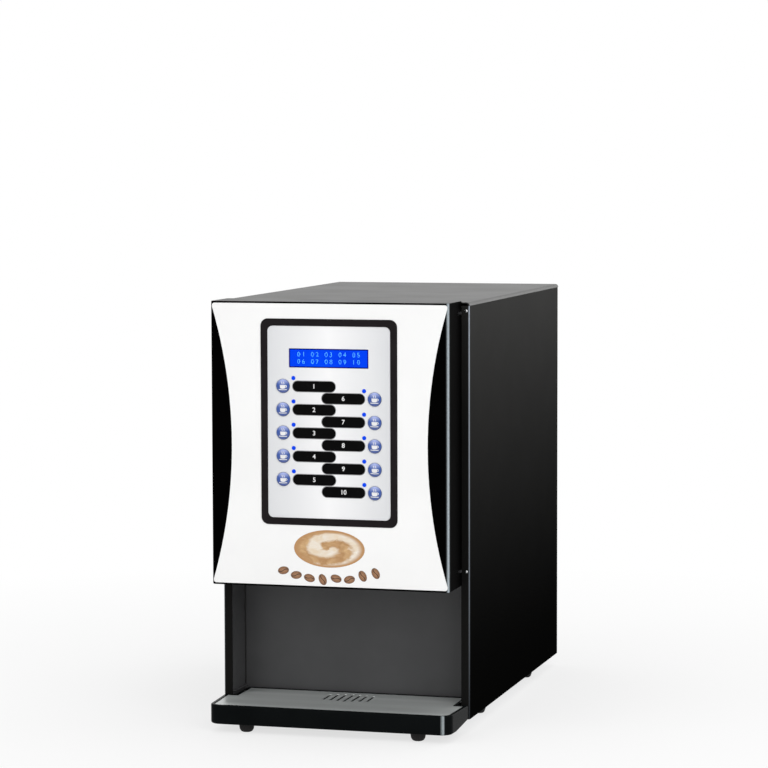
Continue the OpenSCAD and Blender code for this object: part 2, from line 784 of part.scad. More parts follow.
// Display: the glass in the plate's window and the module behind it
module display_module() {
    color([0.05, 0.2, 0.9]) placed() {
        facing(door_front + 0.6, 3) translate([0, display_z]) rounded_rect(display_w, display_h, 0.8);
        facing(door_front + inlay_t + 0.05, 9) translate([0, display_z]) square([116, 37], center = true);
    }
}

// Labels: one black strip beside each button
module label_strips() {
    color([0.06, 0.06, 0.06]) placed() facing(door_front - 0.5, 0.5) for (i = buttons)
        translate([key_x(i, label_x), key_row_z(i)]) rounded_rect(label_w, label_h, label_h / 2 - 0.2);
}

// Indicators: one small blue lens above the outer end of each label
module indicator_leds() {
    color([0.1, 0.3, 1]) placed() for (i = buttons)
        translate([key_x(i, led_x), door_front, key_row_z(i) + led_up]) {
            y_rod(led_r, -0.4, inlay_t + 1);
            y_rod(led_r - 0.6, -0.8, 0);
        }
}

// Control board: the printed board behind the keypad, its key switches, parts and stand-offs
module control_board() {
    board_y = door_front + 7.5;
    board_t = 1.6;
    low = key_z - 101;
    high = key_z + 50;
    half = 75;
    color([0.1, 0.35, 0.18]) placed() {
        block([-half, board_y, low], [half, board_y + board_t, high]);
        for (i = buttons)
            translate([key_x(i, button_x), board_y, key_row_z(i)]) y_rod(3, -1.2, 1);
        for (s = [-1, 1], z = [low + 5, high - 5])
            translate([s * (half - 3), 0, z]) y_rod(2.8, door_front + door_front_wall, board_y + 1);
        block([-20, board_y, low + 50], [14, board_y + 5, low + 84]);
        block([-60, board_y, low + 12], [-10, board_y + 12, low + 24]);
        for (k = [0:2]) translate([34 + k * 14, board_y, low + 40]) y_rod(5, 1, 16);
    }
}

// Door lock: a key barrel in the door's left wall with its cam, which swings back behind the tab
module lock_barrel() {
    wall_x = -door_w / 2;
    cam_w = 8;
    color("silver") placed() translate([0, lock_y, lock_z]) {
        difference() {
            union() {
                x_rod(lock_r + 2, wall_x - 1.8, wall_x - 0.3);
                x_rod(lock_r, wall_x - 0.5, cam_x + 0.5);
            }
            block([wall_x - 3, -1, -5], [wall_x + 4, 1, 5]);
        }
        block([cam_x, -cam_w / 2, 0], [cam_x + 2, cam_w / 2, cam_out]);
        block([wall_x + door_wall + 0.5, -cam_w / 2, cam_in], [cam_x + 2, cam_w / 2, cam_out]);
    }
}

// Drink button: a shallow crowned cap, a flange behind the plate and a stem over the key switch
module drink_button(i) {
    r = button_d / 2;
    proud = 1.2;
    flange_y = inlay_t + 0.2;
    color([0.05, 0.25, 0.85]) placed()
        translate([key_x(i, button_x), door_front, key_row_z(i)]) rotate([-90, 0, 0])
            rotate_extrude() polygon([[0, -proud], [r - 2.5, -proud + 0.15], [r - 0.8, -proud + 0.45],
                [r, -proud + 1], [r, flange_y], [r + 1.4, flange_y], [r + 1.4, flange_y + 1.2],
                [3, flange_y + 1.2], [3, flange_y + 2.8], [0, flange_y + 2.8]]);
}

// The drip tray's outline in front of the cabinet: round corners, and sides that draw in to the front
module tray_outline(inset) {
    r = tray_corner_r - inset;
    corner_y = tray_corner_r - tray_reach;
    side = [cos(tray_taper), -sin(tray_taper)];
    spread = (tray_back - corner_y - tray_corner_r * side.y) * tan(tray_taper);
    corner = [tray_w / 2 - tray_corner_r * side.x - spread, corner_y];
    start = corner + (r - tray_arc_overlap) * side;
    back = tray_back - inset;
    half = start.x + (back - start.y) * tan(tray_taper);
    polygon([[-corner.x, corner.y - r], [corner.x, corner.y - r], start, [half, back], [-half, back],
        [-start.x, start.y]]);
    for (s = [-1, 1]) translate([s * corner.x, corner.y]) circle(r);
}

module tray_rear_outline(inset) {
    half = tray_rear_w / 2 - inset;
    translate([-half, -10 - inset]) square([2 * half, bay_d + 8]);
}

// The space below a floor that rises from the tray's deep front to the cabinet's lower edge
module below_rise(lift) {
    translate([-tray_w, 0, 0]) rotate([90, 0, 90]) linear_extrude(2 * tray_w)
        polygon([[tray_rise_y, -1], [tray_rise_y, tray_floor_z + lift], [0, cabinet_bottom + lift], [0, -1]]);
}

// Drip tray: a black moulded basin, deep in front and shallower over the base pan
module drip_tray() {
    ledge = 1.5;
    floor_t = 2.5;
    color([0.06, 0.06, 0.06]) placed() difference() {
        union() {
            translate([0, 0, tray_floor_z]) linear_extrude(tray_top - tray_floor_z) tray_outline(0);
            translate([0, 0, tray_step_z]) linear_extrude(tray_top - tray_step_z) tray_rear_outline(0);
        }
        below_rise(0);
        difference() {
            translate([0, 0, tray_floor_z + floor_t])
                linear_extrude(tray_top) tray_outline(tray_wall + ledge);
            below_rise(floor_t);
        }
        translate([0, 0, tray_step_z + floor_t])
            linear_extrude(tray_top) tray_rear_outline(tray_wall + ledge);
        translate([0, 0, plate_z]) linear_extrude(tray_top) tray_outline(tray_wall);
        translate([0, 0, plate_z]) linear_extrude(tray_top) tray_rear_outline(tray_wall);
    }
}

// Tray plate: a loose stainless sheet on the basin's ledge, slotted where the cup stands
module tray_plate() {
    gap = tray_wall + 0.4;
    slot_pitch = 9;
    color([0.7, 0.71, 0.72]) placed() translate([0, 0, plate_z]) difference() {
        linear_extrude(plate_t) {
            tray_outline(gap);
            tray_rear_outline(gap);
        }
        for (k = [-3:3]) translate([k * slot_pitch, nozzle_y - 8, -1]) linear_extrude(plate_t + 2)
            rounded_rect(4, 46 - 4 * abs(k), 1.9);
    }
}

module tray_feet() {
    color([0.05, 0.05, 0.05]) placed() for (s = [-1, 1])
        translate([s * tray_foot_x, tray_foot_y, 0]) rubber_foot(tray_foot_d, tray_floor_z);
}

base_pan();
left_side_panel();
right_side_panel();
rear_panel();
top_cover();
bay_liner();
chassis_frame();
cabinet_feet();
panel_screws();
hinge_brackets();
water_inlet_valve();
cord_gland();
water_tank();
heating_element();
dispense_valves();
power_supply();
fan_housing();
fan_rotor();
auger_motors();
whipper_motors();
silicone_hoses();
nozzle_head();
for (i = stations) {
    powder_canister(i);
    canister_flap(i);
    auger(i);
    mixing_bowl(i);
    whipper_impeller(i);
}
door_shell();
door_liner();
graphic_panel();
keypad_bezel();
keypad_plate();
display_module();
label_strips();
indicator_leds();
control_board();
lock_barrel();
for (i = buttons) {
    drink_button(i);
}
drip_tray();
tray_plate();
tray_feet();
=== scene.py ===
# Countertop hot drink vending machine: the finish of every piece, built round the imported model.
# Metres. +X is right seen from the front, +Y is to the back, +Z is up.
import json
import math
from types import SimpleNamespace

import bmesh
import bpy
from mathutils import Matrix, Vector


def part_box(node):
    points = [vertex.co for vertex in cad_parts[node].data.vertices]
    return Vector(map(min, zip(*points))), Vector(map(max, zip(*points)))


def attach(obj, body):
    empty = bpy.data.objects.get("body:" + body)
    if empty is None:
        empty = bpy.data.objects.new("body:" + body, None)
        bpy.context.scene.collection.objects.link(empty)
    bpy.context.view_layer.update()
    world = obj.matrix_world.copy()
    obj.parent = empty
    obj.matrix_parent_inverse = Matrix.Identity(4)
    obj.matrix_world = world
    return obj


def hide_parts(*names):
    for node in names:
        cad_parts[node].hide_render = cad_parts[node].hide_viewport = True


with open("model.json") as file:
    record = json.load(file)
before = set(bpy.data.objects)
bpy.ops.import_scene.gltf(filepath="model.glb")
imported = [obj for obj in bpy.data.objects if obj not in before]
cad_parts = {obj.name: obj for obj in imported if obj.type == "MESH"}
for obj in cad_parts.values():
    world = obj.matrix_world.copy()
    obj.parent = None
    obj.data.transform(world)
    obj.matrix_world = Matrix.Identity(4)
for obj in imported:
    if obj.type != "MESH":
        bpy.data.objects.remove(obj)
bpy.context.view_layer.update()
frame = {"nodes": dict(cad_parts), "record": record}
mm = 0.001

# Base pan: a shallow tray of zinc-coated steel with low upstands. It comes first on the bench:
# the feet are screwed on from below, and the side and rear panels lap over its edges.
record = frame["record"]
body_of = {node: body for body, nodes in record["behaviour"]["bodies"].items() for node in nodes}


def add_node(tree, kind, options=(), **inputs):
    """Adds a node to a tree, with its options set and its inputs set or linked by number or name."""
    node = tree.nodes.new(kind)
    for option, value in dict(options).items():
        setattr(node, option, value)
    for key, value in inputs.items():
        socket = node.inputs[int(key[1:])] if key[1:].isdigit() else node.inputs[key.replace("_", " ")]
        if isinstance(value, bpy.types.NodeSocket):
            tree.links.new(value, socket)
        else:
            socket.default_value = value
    return node


def sum_of(operation, first, second=0.0):
    """A number worked out from others in their node tree."""
    tree = (first if isinstance(first, bpy.types.NodeSocket) else second).id_data
    return add_node(tree, "ShaderNodeMath", {"operation": operation}, _0=first, _1=second).outputs[0]


def ranged(value, low, high, start=0.0, end=1.0):
    """A number carried from the range low to high over to the range start to end."""
    return add_node(value.id_data, "ShaderNodeMapRange", Value=value, From_Min=low, From_Max=high,
                    To_Min=start, To_Max=end).outputs[0]


def mixed(share, first, second):
    """A colour between two others, by a share from 0 to 1."""
    first, second = (c if isinstance(c, bpy.types.NodeSocket) else (*c, 1) for c in (first, second))
    return add_node(share.id_data, "ShaderNodeMix", {"data_type": "RGBA"}, _0=share, _6=first,
                    _7=second).outputs[2]


def attribute(tree, name):
    """A number stored on a mesh under a name."""
    return add_node(tree, "ShaderNodeAttribute", {"attribute_name": name}).outputs["Fac"]


def own_place(tree):
    """Where a point lies on the object."""
    return add_node(tree, "ShaderNodeTexCoord").outputs["Object"]


def one_axis(vector, axis):
    """One number of a vector: 0 is x, 1 is y and 2 is z."""
    return add_node(vector.id_data, "ShaderNodeSeparateXYZ", Vector=vector).outputs[axis]


def facing(tree, axis):
    """How much a face looks along an axis."""
    return one_axis(add_node(tree, "ShaderNodeNewGeometry").outputs["Normal"], axis)


def noise(place, across, detail, distortion=0.0):
    """A number that drifts from place to place, in patches of a size across."""
    return add_node(place.id_data, "ShaderNodeTexNoise", Vector=place, Scale=1 / across, Detail=detail,
                    Distortion=distortion).outputs[0]


def new_material(name):
    """A new material and its tree."""
    material = bpy.data.materials.new(name)
    material.use_nodes = True
    return material, material.node_tree


def drive(socket, value):
    """Links a number or a colour to a socket of the shader in its tree."""
    tree = value.id_data
    tree.links.new(value, tree.nodes["Principled BSDF"].inputs[socket])


def finish(name, tones, patch, rough, grain, relief, gloss=0.5, stretch=(1, 1, 1), cells=False, rub=None,
           painted_shade_height=0, **fixed):
    """A material whose tone and gloss drift in patches over a fine grained surface.

    tones are its darkest and lightest colour, patch and grain are sizes across in millimetres, rough
    is the range of roughness and relief the grain's height in millimetres. gloss is how strongly it
    shines, stretch draws the marks out along x, y and z, and cells makes the patches crystals.
    rub is the colour of a painted highlight on the edges that a mesh marks, and
    painted_shade_height is the height over which the coat, its gloss and that highlight come up from
    a painted shade of black at the foot, less black on faces to the front. fixed holds other sockets of
    the shader that are the same all over.
    """
    material, tree = new_material(name)
    shader = tree.nodes["Principled BSDF"]
    shader.inputs["Specular IOR Level"].default_value = gloss
    for socket, value in fixed.items():
        shader.inputs[socket.replace("_", " ")].default_value = value
    place = own_place(tree)
    drawn = add_node(tree, "ShaderNodeMapping", Vector=place, Scale=[1 / s for s in stretch]).outputs[0]
    if cells:
        drift = add_node(tree, "ShaderNodeTexVoronoi", Vector=drawn,
                         Scale=1 / (patch * mm)).outputs["Color"]
        low, high = 0.1, 0.9
    else:
        drift = noise(drawn, patch * mm, 3)
        low, high = 0.32, 0.68
    fine = noise(drawn, grain * mm, 2)
    colour = mixed(ranged(drift, low, high), *tones)
    highlight_strength = ranged(fine, 0.2, 0.5, 0.7, 1.0)
    # Painted shade: the coat goes to black towards the foot, less so on faces to the front, and its gloss
    # and painted highlight fade with it.
    if painted_shade_height:
        painted_shade_black, steepness, front_painted_light = (0.002, 0.002, 0.0019), 2.8, 0.4
        height = one_axis(place, 2)
        painted_light_share = sum_of("POWER", ranged(height, 0.0, painted_shade_height), steepness)
        painted_light_share = sum_of("MAXIMUM", painted_light_share, ranged(facing(tree, 1), -0.7, -0.95, 0.0, front_painted_light))
        colour = mixed(painted_light_share, painted_shade_black, colour)
        drive("Specular IOR Level", sum_of("MULTIPLY", painted_light_share, gloss))
        highlight_strength = sum_of("MULTIPLY", highlight_strength, ranged(height, 0.0, painted_shade_height, 0.02, 1.0))
    # Painted highlight: the edges that a mesh marks take a pale colour, broken up by the fine grain.
    if rub:
        colour = mixed(sum_of("MULTIPLY", highlight_strength, attribute(tree, "rub")), colour, rub)
    drive("Base Color", colour)
    drive("Roughness", ranged(drift, low, high, *rough))
    drive("Normal", add_node(tree, "ShaderNodeBump", Height=fine, Distance=relief * mm).outputs[0])
    return material


def to_mesh(work, name):
    """Ends a mesh in the making."""
    mesh = bpy.data.meshes.new(name)
    work.to_mesh(mesh)
    work.free()
    return mesh


def in_scene(name, data):
    """A new object in the scene."""
    item = bpy.data.objects.new(name, data)
    bpy.context.scene.collection.objects.link(item)
    return item


def fit(name, shape, material, node, stands_for=False, smooth=40):
    """Makes a finished shape a piece on the body of a node, or one that stands for the node."""
    mesh = to_mesh(shape, name) if isinstance(shape, bmesh.types.BMesh) else shape
    mesh.materials.clear()
    mesh.materials.append(material)
    mesh.polygons.foreach_set("use_smooth", [True] * len(mesh.polygons))
    mesh.polygons.foreach_set("material_index", [0] * len(mesh.polygons))
    mesh.set_sharp_from_angle(angle=math.radians(smooth))
    piece = in_scene(name, mesh)
    shading = piece.modifiers.new("even shading", "WEIGHTED_NORMAL")
    shading.keep_sharp = True
    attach(piece, body_of[node])
    if stands_for:
        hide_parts(node)
    return piece


def sharp_edges(work, angle=38):
    """The edges of a mesh where two faces meet at a clear angle."""
    limit = math.radians(angle)
    return [e for e in work.edges if len(e.link_faces) == 2 and e.calc_face_angle(0) > limit]


def break_edges(work, edges, width, steps):
    """Rounds edges to a width, in a few steps."""
    bmesh.ops.bevel(work, geom=edges, offset=width, offset_type="OFFSET", segments=steps, profile=0.5,
                    affect="EDGES", clamp_overlap=True)


# Points nearer than this are one point.
weld = 0.002 * mm


def merged_copy(node):
    """A node's solid as a mesh in the making, its loose triangles joined."""
    work = bmesh.new()
    work.from_mesh(frame["nodes"][node].data)
    bmesh.ops.remove_doubles(work, verts=work.verts, dist=weld)
    return work


def flatten(work, degrees):
    """Makes one face of those that lie in one plane, within an angle."""
    bmesh.ops.dissolve_limit(work, angle_limit=math.radians(degrees), verts=work.verts, edges=work.edges)


def edged(node, material, width, rounds=(), reshape=None, mark=None):
    """A copy of a node's solid with its edges broken, standing for the node.

    rounds lists edges that are rounded more than the rest, as a width and a test of the edge.
    reshape is called on the plain copy, and mark on the finished one to mark where a highlight is
    painted.
    """
    work = merged_copy(node)
    flatten(work, 0.6)
    if reshape:
        reshape(work)
    for wide, test in rounds:
        break_edges(work, [e for e in sharp_edges(work) if test(e)], wide, 4)
    break_edges(work, sharp_edges(work), width, 2)
    if mark:
        mark(work)
    fit(node + "_edged", work, material, node, stands_for=True)


zinc_sheet = finish("zinc_sheet", ((0.42, 0.43, 0.44), (0.57, 0.58, 0.59)), 8, (0.28, 0.46), 0.7, 0.006,
                    cells=True, Metallic=1.0)
edged("base_pan", zinc_sheet, 0.3 * mm)

# Cabinet feet: four moulded rubber feet, narrower at the counter, screwed up into the base pan.
# Soft black rubber with a dull skin, a little greyer where it has picked up dust.
black_rubber = finish("black_rubber", ((0.008, 0.008, 0.008), (0.016, 0.015, 0.015)), 9, (0.6, 0.78), 0.5,
                      0.02, gloss=0.2)
edged("cabinet_feet", black_rubber, 0.6 * mm)

# Side panels: one black powder-coated steel sheet on each side, folded in at the front to a flange
# beside the door and at the back to a flange for the rear panel's screws. The coat is painted darker
# towards the bottom as painted shade, less so on faces to the front. The front folds have a small
# radius and a painted highlight.
side_paint = finish("side_paint", ((0.016, 0.0157, 0.0148), (0.018, 0.0177, 0.0168)), 60, (0.58, 0.62),
                    1.1, 0.014, rub=(0.44, 0.49, 0.56), painted_shade_height=0.5, gloss=0.02)
sheet_t = 1.2 * mm
fold_r = 2.4 * mm


def bent_line(points, radius, steps=8):
    """A line through plan points, with every corner turned on a radius."""
    line = [points[0]]
    for before, corner, after in zip(points, points[1:], points[2:]):
        way_in, way_out = (corner - before).normalized(), (after - corner).normalized()
        start = corner - way_in * radius
        for k in range(steps + 1):
            turn = k / steps * math.pi / 2
            line.append(start + way_in * radius * math.sin(turn)
                        + way_out * radius * (1 - math.cos(turn)))
    return line + [points[-1]]


def draw_out(work, outline, way):
    """Adds the solid that a flat outline sweeps along a vector to a mesh in the making."""
    foot = work.faces.new([work.verts.new(point) for point in outline])
    raised = bmesh.ops.extrude_face_region(work, geom=[foot], use_keep_orig=True)["geom"]
    bmesh.ops.translate(work, verts=[v for v in raised if isinstance(v, bmesh.types.BMVert)], vec=way)
    bmesh.ops.recalc_face_normals(work, faces=work.faces)


def mark_rubbed(work, side, half_w, front, radius, middle=45, spread=32):
    """Marks a band of an upright front corner, on the left or the right, for a painted highlight."""
    rub = work.verts.layers.float.new("rub")
    for vert in work.verts:
        out, ahead = side * vert.co.x - (half_w - radius), front + radius - vert.co.y
        if min(out, ahead) > 0 and math.hypot(out, ahead) > 0.9 * radius:
            off_middle = abs(math.degrees(math.atan2(out, ahead)) - middle)
            vert[rub] = max(0.0, 1 - off_middle / spread)


def add_block(work, low, high, width):
    """Adds a block with broken edges to a mesh in the making, by its two corners."""
    low, high = Vector(low), Vector(high)
    middle = Matrix.Translation((low + high) / 2) @ Matrix.Diagonal((*(high - low), 1))
    block = bmesh.new()
    bmesh.ops.create_cube(block, size=1, matrix=middle)
    break_edges(block, block.edges[:], width, 2)
    mesh = to_mesh(block, "block")
    work.from_mesh(mesh)
    bpy.data.meshes.remove(mesh)


panel_low, panel_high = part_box("right_side_panel")
tip, out, front, back = panel_low.x, panel_high.x, panel_low.y, panel_high.y
inside = out - sheet_t
tab_h, tab_drop, tab_lap = 16 * mm, 1 * mm, 0.5 * mm
for side, node in ((-1, "left_side_panel"), (1, "right_side_panel")):
    face = [Vector((side * x, y)) for x, y in ((tip, front), (out, front), (out, back), (tip, back))]
    inner = [Vector((side * x, y)) for x, y in ((tip, front + sheet_t), (inside, front + sheet_t),
                                                (inside, back - sheet_t), (tip, back - sheet_t))]
    outline = bent_line(face, fold_r) + bent_line(inner, fold_r - sheet_t)[::-1]
    work = bmesh.new()
    draw_out(work, [(*p, panel_low.z) for p in outline], (0, 0, panel_high.z - panel_low.z))
    break_edges(work, sharp_edges(work, 60), 0.3 * mm, 2)
    if side < 0:
        tab_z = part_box("lock_barrel")[0].z - tab_drop
        tab_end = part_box(node)[1].x
        add_block(work, (-tip - tab_lap, front, tab_z), (tab_end, front + sheet_t, tab_z + tab_h),
                  0.3 * mm)
    # The front fold is marked for a painted highlight.
    mark_rubbed(work, side, out, front, fold_r)
    fit(node + "_folded", work, side_paint, node, stands_for=True)

# Bay liner: one grey painted sheet bent in a U round the cup bay, with a ledge over each side of the
# tray. A thin black strip runs up both corners at the back, painted shade in those corners.
grey_paint = finish("grey_paint", ((0.054, 0.054, 0.056), (0.064, 0.064, 0.066)), 55, (0.45, 0.52), 1.0,
                    0.012, gloss=0.3)
edged("bay_liner", grey_paint, 0.35 * mm)
liner_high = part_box("bay_liner")[1]
# Painted shade: a thin black strip fills each back corner of the bay.
bead = 1.5 * mm
corner_shade_low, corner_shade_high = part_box("drip_tray")[1].z + 4 * mm, liner_high.z - 0.5 * mm
work = bmesh.new()
for side in (-1, 1):
    corner = Vector((side * (liner_high.x - sheet_t), liner_high.y - sheet_t))
    hollow = [corner + Vector((-side * bead * (1 - math.sin(a)), -bead * (1 - math.cos(a))))
              for a in (k / 4 * math.pi / 2 for k in range(5))]
    draw_out(work, [(*p, corner_shade_low) for p in hollow + [corner]], (0, 0, corner_shade_high - corner_shade_low))
fit("bay_corner_shade", work, black_rubber, "cabinet_feet")

# Chassis: one zinc-coated sheet bent into steps. It is the bay's ceiling, carries the bowls and the
# canisters, and keeps the motors and the tank behind it dry.
edged("chassis_frame", zinc_sheet, 0.35 * mm)

# Water tank and its fittings: a stainless boiler on the back of the chassis, a brass-flanged heating
# element hanging in it, and three solenoid valves screwed into its front.
stainless = finish("stainless", ((0.50, 0.50, 0.49), (0.62, 0.62, 0.61)), 40, (0.26, 0.38), 0.35, 0.004,
                   stretch=(60, 1, 1), Metallic=1.0)
edged("water_tank", stainless, 0.5 * mm)
brass = finish("brass", ((0.50, 0.33, 0.16), (0.66, 0.46, 0.24)), 12, (0.22, 0.4), 0.4, 0.006,
               Metallic=1.0)
edged("heating_element", brass, 0.5 * mm)
black_plastic = finish("black_plastic", ((0.010, 0.010, 0.010), (0.016, 0.016, 0.016)), 18, (0.42, 0.55),
                       0.6, 0.012, gloss=0.25)
edged("dispense_valves", black_plastic, 0.5 * mm)

# Power supply: a folded steel case with cooling fins, standing on the base pan. It feeds the control
# board, the valves, the motors and the fan.
edged("power_supply", zinc_sheet, 0.4 * mm)

# Motors: three geared motors for the augers on the chassis's upper wall, and three for the whippers
# on its lower wall. Pressed cans under blue-grey stoved paint.
motor_paint = finish("motor_paint", ((0.07, 0.075, 0.09), (0.11, 0.115, 0.13)), 20, (0.3, 0.45), 0.7,
                     0.012)
edged("auger_motors", motor_paint, 0.8 * mm)
edged("whipper_motors", motor_paint, 0.8 * mm)

# Exhaust fan: a square moulded frame behind the rear grille, and a rotor that turns on its pin. It
# draws the steam of the bowls out of the cabinet.
edged("fan_housing", black_plastic, 0.5 * mm)
edged("fan_rotor", black_plastic, 0.4 * mm)

# Mixing bowls: three white moulded funnels over round whipping chambers, pushed on the chassis wall,
# each with a dark impeller on its motor's shaft.
bowl_plastic = finish("bowl_plastic", ((0.72, 0.71, 0.68), (0.80, 0.79, 0.76)), 25, (0.22, 0.34), 0.8,
                      0.006, Subsurface_Weight=0.15, Subsurface_Scale=0.004)
stations = (1, 2, 3)
for station in stations:
    edged(f"mixing_bowl_{station}", bowl_plastic, 0.6 * mm)
    edged(f"whipper_impeller_{station}", black_plastic, 0.3 * mm)

# Powder canisters: three clear moulded hoppers over their augers, each with a spout in front and a
# grey refill flap on two stub pins.
clear_plastic = finish("clear_plastic", ((0.86, 0.89, 0.90), (0.92, 0.94, 0.95)), 30, (0.12, 0.2), 0.9,
                       0.006, Transmission_Weight=0.88, IOR=1.45)
flap_plastic = finish("flap_plastic", ((0.24, 0.24, 0.25), (0.30, 0.30, 0.31)), 22, (0.34, 0.48), 0.7,
                      0.012)
auger_plastic = finish("auger_plastic", ((0.74, 0.73, 0.70), (0.82, 0.81, 0.78)), 15, (0.3, 0.42), 0.6,
                       0.006)
for station in stations:
    edged(f"powder_canister_{station}", clear_plastic, 0.6 * mm)
    edged(f"canister_flap_{station}", flap_plastic, 0.4 * mm)
    edged(f"auger_{station}", auger_plastic, 0.3 * mm)

# Nozzle head: a black moulded block in the bay's ceiling that brings the three hoses over the cup.
# Its edges are well rounded, so that it wipes clean.
edged("nozzle_head", black_plastic, 1.0 * mm)

# Hoses: soft milky silicone tube, hot water to the bowls, drink to the nozzle and cold water to the
# tank. They are pushed on their spouts and bend freely in between.
silicone = finish("silicone", ((0.68, 0.66, 0.62), (0.78, 0.76, 0.72)), 16, (0.32, 0.45), 0.5, 0.006,
                  Subsurface_Weight=0.3, Subsurface_Scale=0.003)
work = merged_copy("silicone_hoses")
bmesh.ops.join_triangles(work, faces=work.faces, cmp_sharp=True, angle_face_threshold=math.radians(25),
                         angle_shape_threshold=math.radians(60))
flatten(work, 0.5)
work.normal_update()
crease = work.edges.layers.float.new("crease_edge")
for edge in sharp_edges(work, 60):
    edge[crease] = 1.0
hoses = fit("silicone_hoses_round", work, silicone, "silicone_hoses", stands_for=True)
rounding = hoses.modifiers.new("round", "SUBSURF")
rounding.levels = rounding.render_levels = 2
hoses.modifiers.move(1, 0)

# Water inlet: a white moulded solenoid valve inside the rear panel. Its collar and stub stand out at
# the back, and the stub's thread takes the coupling nut of a water hose.
valve_plastic = finish("valve_plastic", ((0.66, 0.66, 0.62), (0.74, 0.74, 0.70)), 14, (0.3, 0.42), 0.6,
                       0.008)
socket_kinds = {int: "NodeSocketInt", float: "NodeSocketFloat", str: "NodeSocketString"}


def new_tree(name, **sizes):
    """A Geometry Nodes tree with a named input for each size, and the sockets of those inputs."""
    tree = bpy.data.node_groups.new(name, "GeometryNodeTree")
    for label, size in sizes.items():
        size_input = tree.interface.new_socket(label.replace("_", " "), in_out="INPUT",
                                               socket_type=socket_kinds[type(size)])
        size_input.default_value = size
    tree.interface.new_socket("Mesh", in_out="OUTPUT", socket_type="NodeSocketGeometry")
    sockets = tree.nodes.new("NodeGroupInput").outputs
    return tree, SimpleNamespace(**{label: sockets[label.replace("_", " ")] for label in sizes})


def geo(tree, kind, options=(), **inputs):
    """The first output of a node added to a Geometry Nodes tree."""
    return add_node(tree, "GeometryNode" + kind, options, **inputs).outputs[0]


def baked(holder):
    """The plain mesh that an object makes. The object is taken away."""
    mesh = bpy.data.meshes.new_from_object(holder.evaluated_get(bpy.context.evaluated_depsgraph_get()))
    bpy.data.objects.remove(holder)
    return mesh


def grow(geometry):
    """Ends a tree in real geometry, and gives the plain mesh that it makes."""
    tree = geometry.id_data
    real = geo(tree, "RealizeInstances", Geometry=geometry)
    tree.links.new(real, tree.nodes.new("NodeGroupOutput").inputs[0])
    holder = in_scene(tree.name, bpy.data.meshes.new(tree.name + "_holder"))
    holder.modifiers.new(tree.name, "NODES").node_group = tree
    mesh = baked(holder)
    mesh.name = tree.name
    return mesh


def moved(geometry, place=(0, 0, 0), turn=(0, 0, 0), scale=(1, 1, 1)):
    """Geometry scaled, turned and moved in a tree."""
    return geo(geometry.id_data, "Transform", Geometry=geometry, Translation=place, Rotation=turn,
               Scale=scale)


def together(*shapes):
    """Several shapes of a tree as one."""
    tree = shapes[0].id_data
    joint = tree.nodes.new("GeometryNodeJoinGeometry")
    for shape in shapes:
        tree.links.new(shape, joint.inputs[0])
    return joint.outputs[0]


to_back = (-math.pi / 2, 0, 0)
to_front = (math.pi / 2, 0, 0)
thread_r, thread_depth, thread_l, lead_in = 13.2 * mm, 1.0 * mm, 18 * mm, 1.6 * mm
collar_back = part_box("rear_panel")[1].y + 3.5 * mm
stub_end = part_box("water_inlet_valve")[1].y
inlet_mount = Vector(next(m["pos_m"] for m in record["mounts"] if m["name"] == "water_inlet"))


def turn_down(work):
    """Turns the stub down to the core of its thread."""
    for vert in work.verts:
        spoke = Vector((vert.co.x - inlet_mount.x, 0, vert.co.z - inlet_mount.z))
        if abs(spoke.length - thread_r) < 0.1 * mm and vert.co.y > collar_back:
            vert.co -= spoke.normalized() * thread_depth


edged("water_inlet_valve", valve_plastic, 0.4 * mm, reshape=turn_down)
tree, size = new_tree("inlet_thread", Core_Radius=thread_r - thread_depth, Depth=thread_depth,
                      Length=thread_l, Turns=10.0)
winding = geo(tree, "CurveSpiral", Resolution=36, Rotations=size.Turns, Start_Radius=size.Core_Radius,
              End_Radius=size.Core_Radius, Height=size.Length)
ridge = geo(tree, "CurvePrimitiveCircle", Resolution=6, Radius=size.Depth)
coil = geo(tree, "CurveToMesh", Curve=winding, Profile_Curve=ridge, Fill_Caps=True)
thread_start = (inlet_mount.x, stub_end - lead_in - thread_l, inlet_mount.z)
thread = moved(coil, thread_start, to_back)
fit("inlet_thread", grow(thread), valve_plastic, "water_inlet_valve")

# Cord gland: a flanged black bush in the rear panel. Its tapered tail keeps the lead from kinking
# where it enters the cabinet.
edged("cord_gland", black_plastic, 0.6 * mm)

# Rear panel: black painted sheet with vent slots and the fan's grille, held by eight zinc-plated
# cross-head screws in the side panels' rear flanges.
# It takes the side panels' coat, with its painted shade towards the bottom.
edged("rear_panel", side_paint, 0.25 * mm)
bright_zinc = finish("bright_zinc", ((0.55, 0.56, 0.57), (0.70, 0.70, 0.70)), 6, (0.2, 0.34), 0.4, 0.004,
                     Metallic=1.0)
screws_low, screws_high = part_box("panel_screws")
head_r, head_h, shank_l = 3.6 * mm, 1.8 * mm, 5 * mm
cross_turn, cross_size = 0.4, (0.9 * mm, 3.6 * mm, 2 * mm)
tree, size = new_tree("panel_screws_crossed", Columns_Apart=screws_high.x - screws_low.x - 2 * head_r,
                      Rows=4, Height=screws_high.z - screws_low.z - 2 * head_r, Head_Radius=head_r,
                      Head_Height=head_h, Crown_Share=0.72, Shank_Radius=1.9 * mm, Shank_Length=shank_l)
places = geo(tree, "MeshGrid", Size_X=size.Columns_Apart, Size_Y=size.Height, Vertices_X=2,
             Vertices_Y=size.Rows)
crown = sum_of("MULTIPLY", size.Head_Radius, size.Crown_Share)
head = geo(tree, "MeshCone", Vertices=32, Radius_Top=crown, Radius_Bottom=size.Head_Radius,
           Depth=size.Head_Height)
bar = geo(tree, "MeshCube", Size=cross_size)
cut = add_node(tree, "GeometryNodeMeshBoolean", {"operation": "DIFFERENCE"}, Mesh_1=head)
for turn in (cross_turn, cross_turn + math.pi / 2):
    tree.links.new(moved(bar, (0, 0, head_h), (0, 0, turn)), cut.inputs["Mesh 2"])
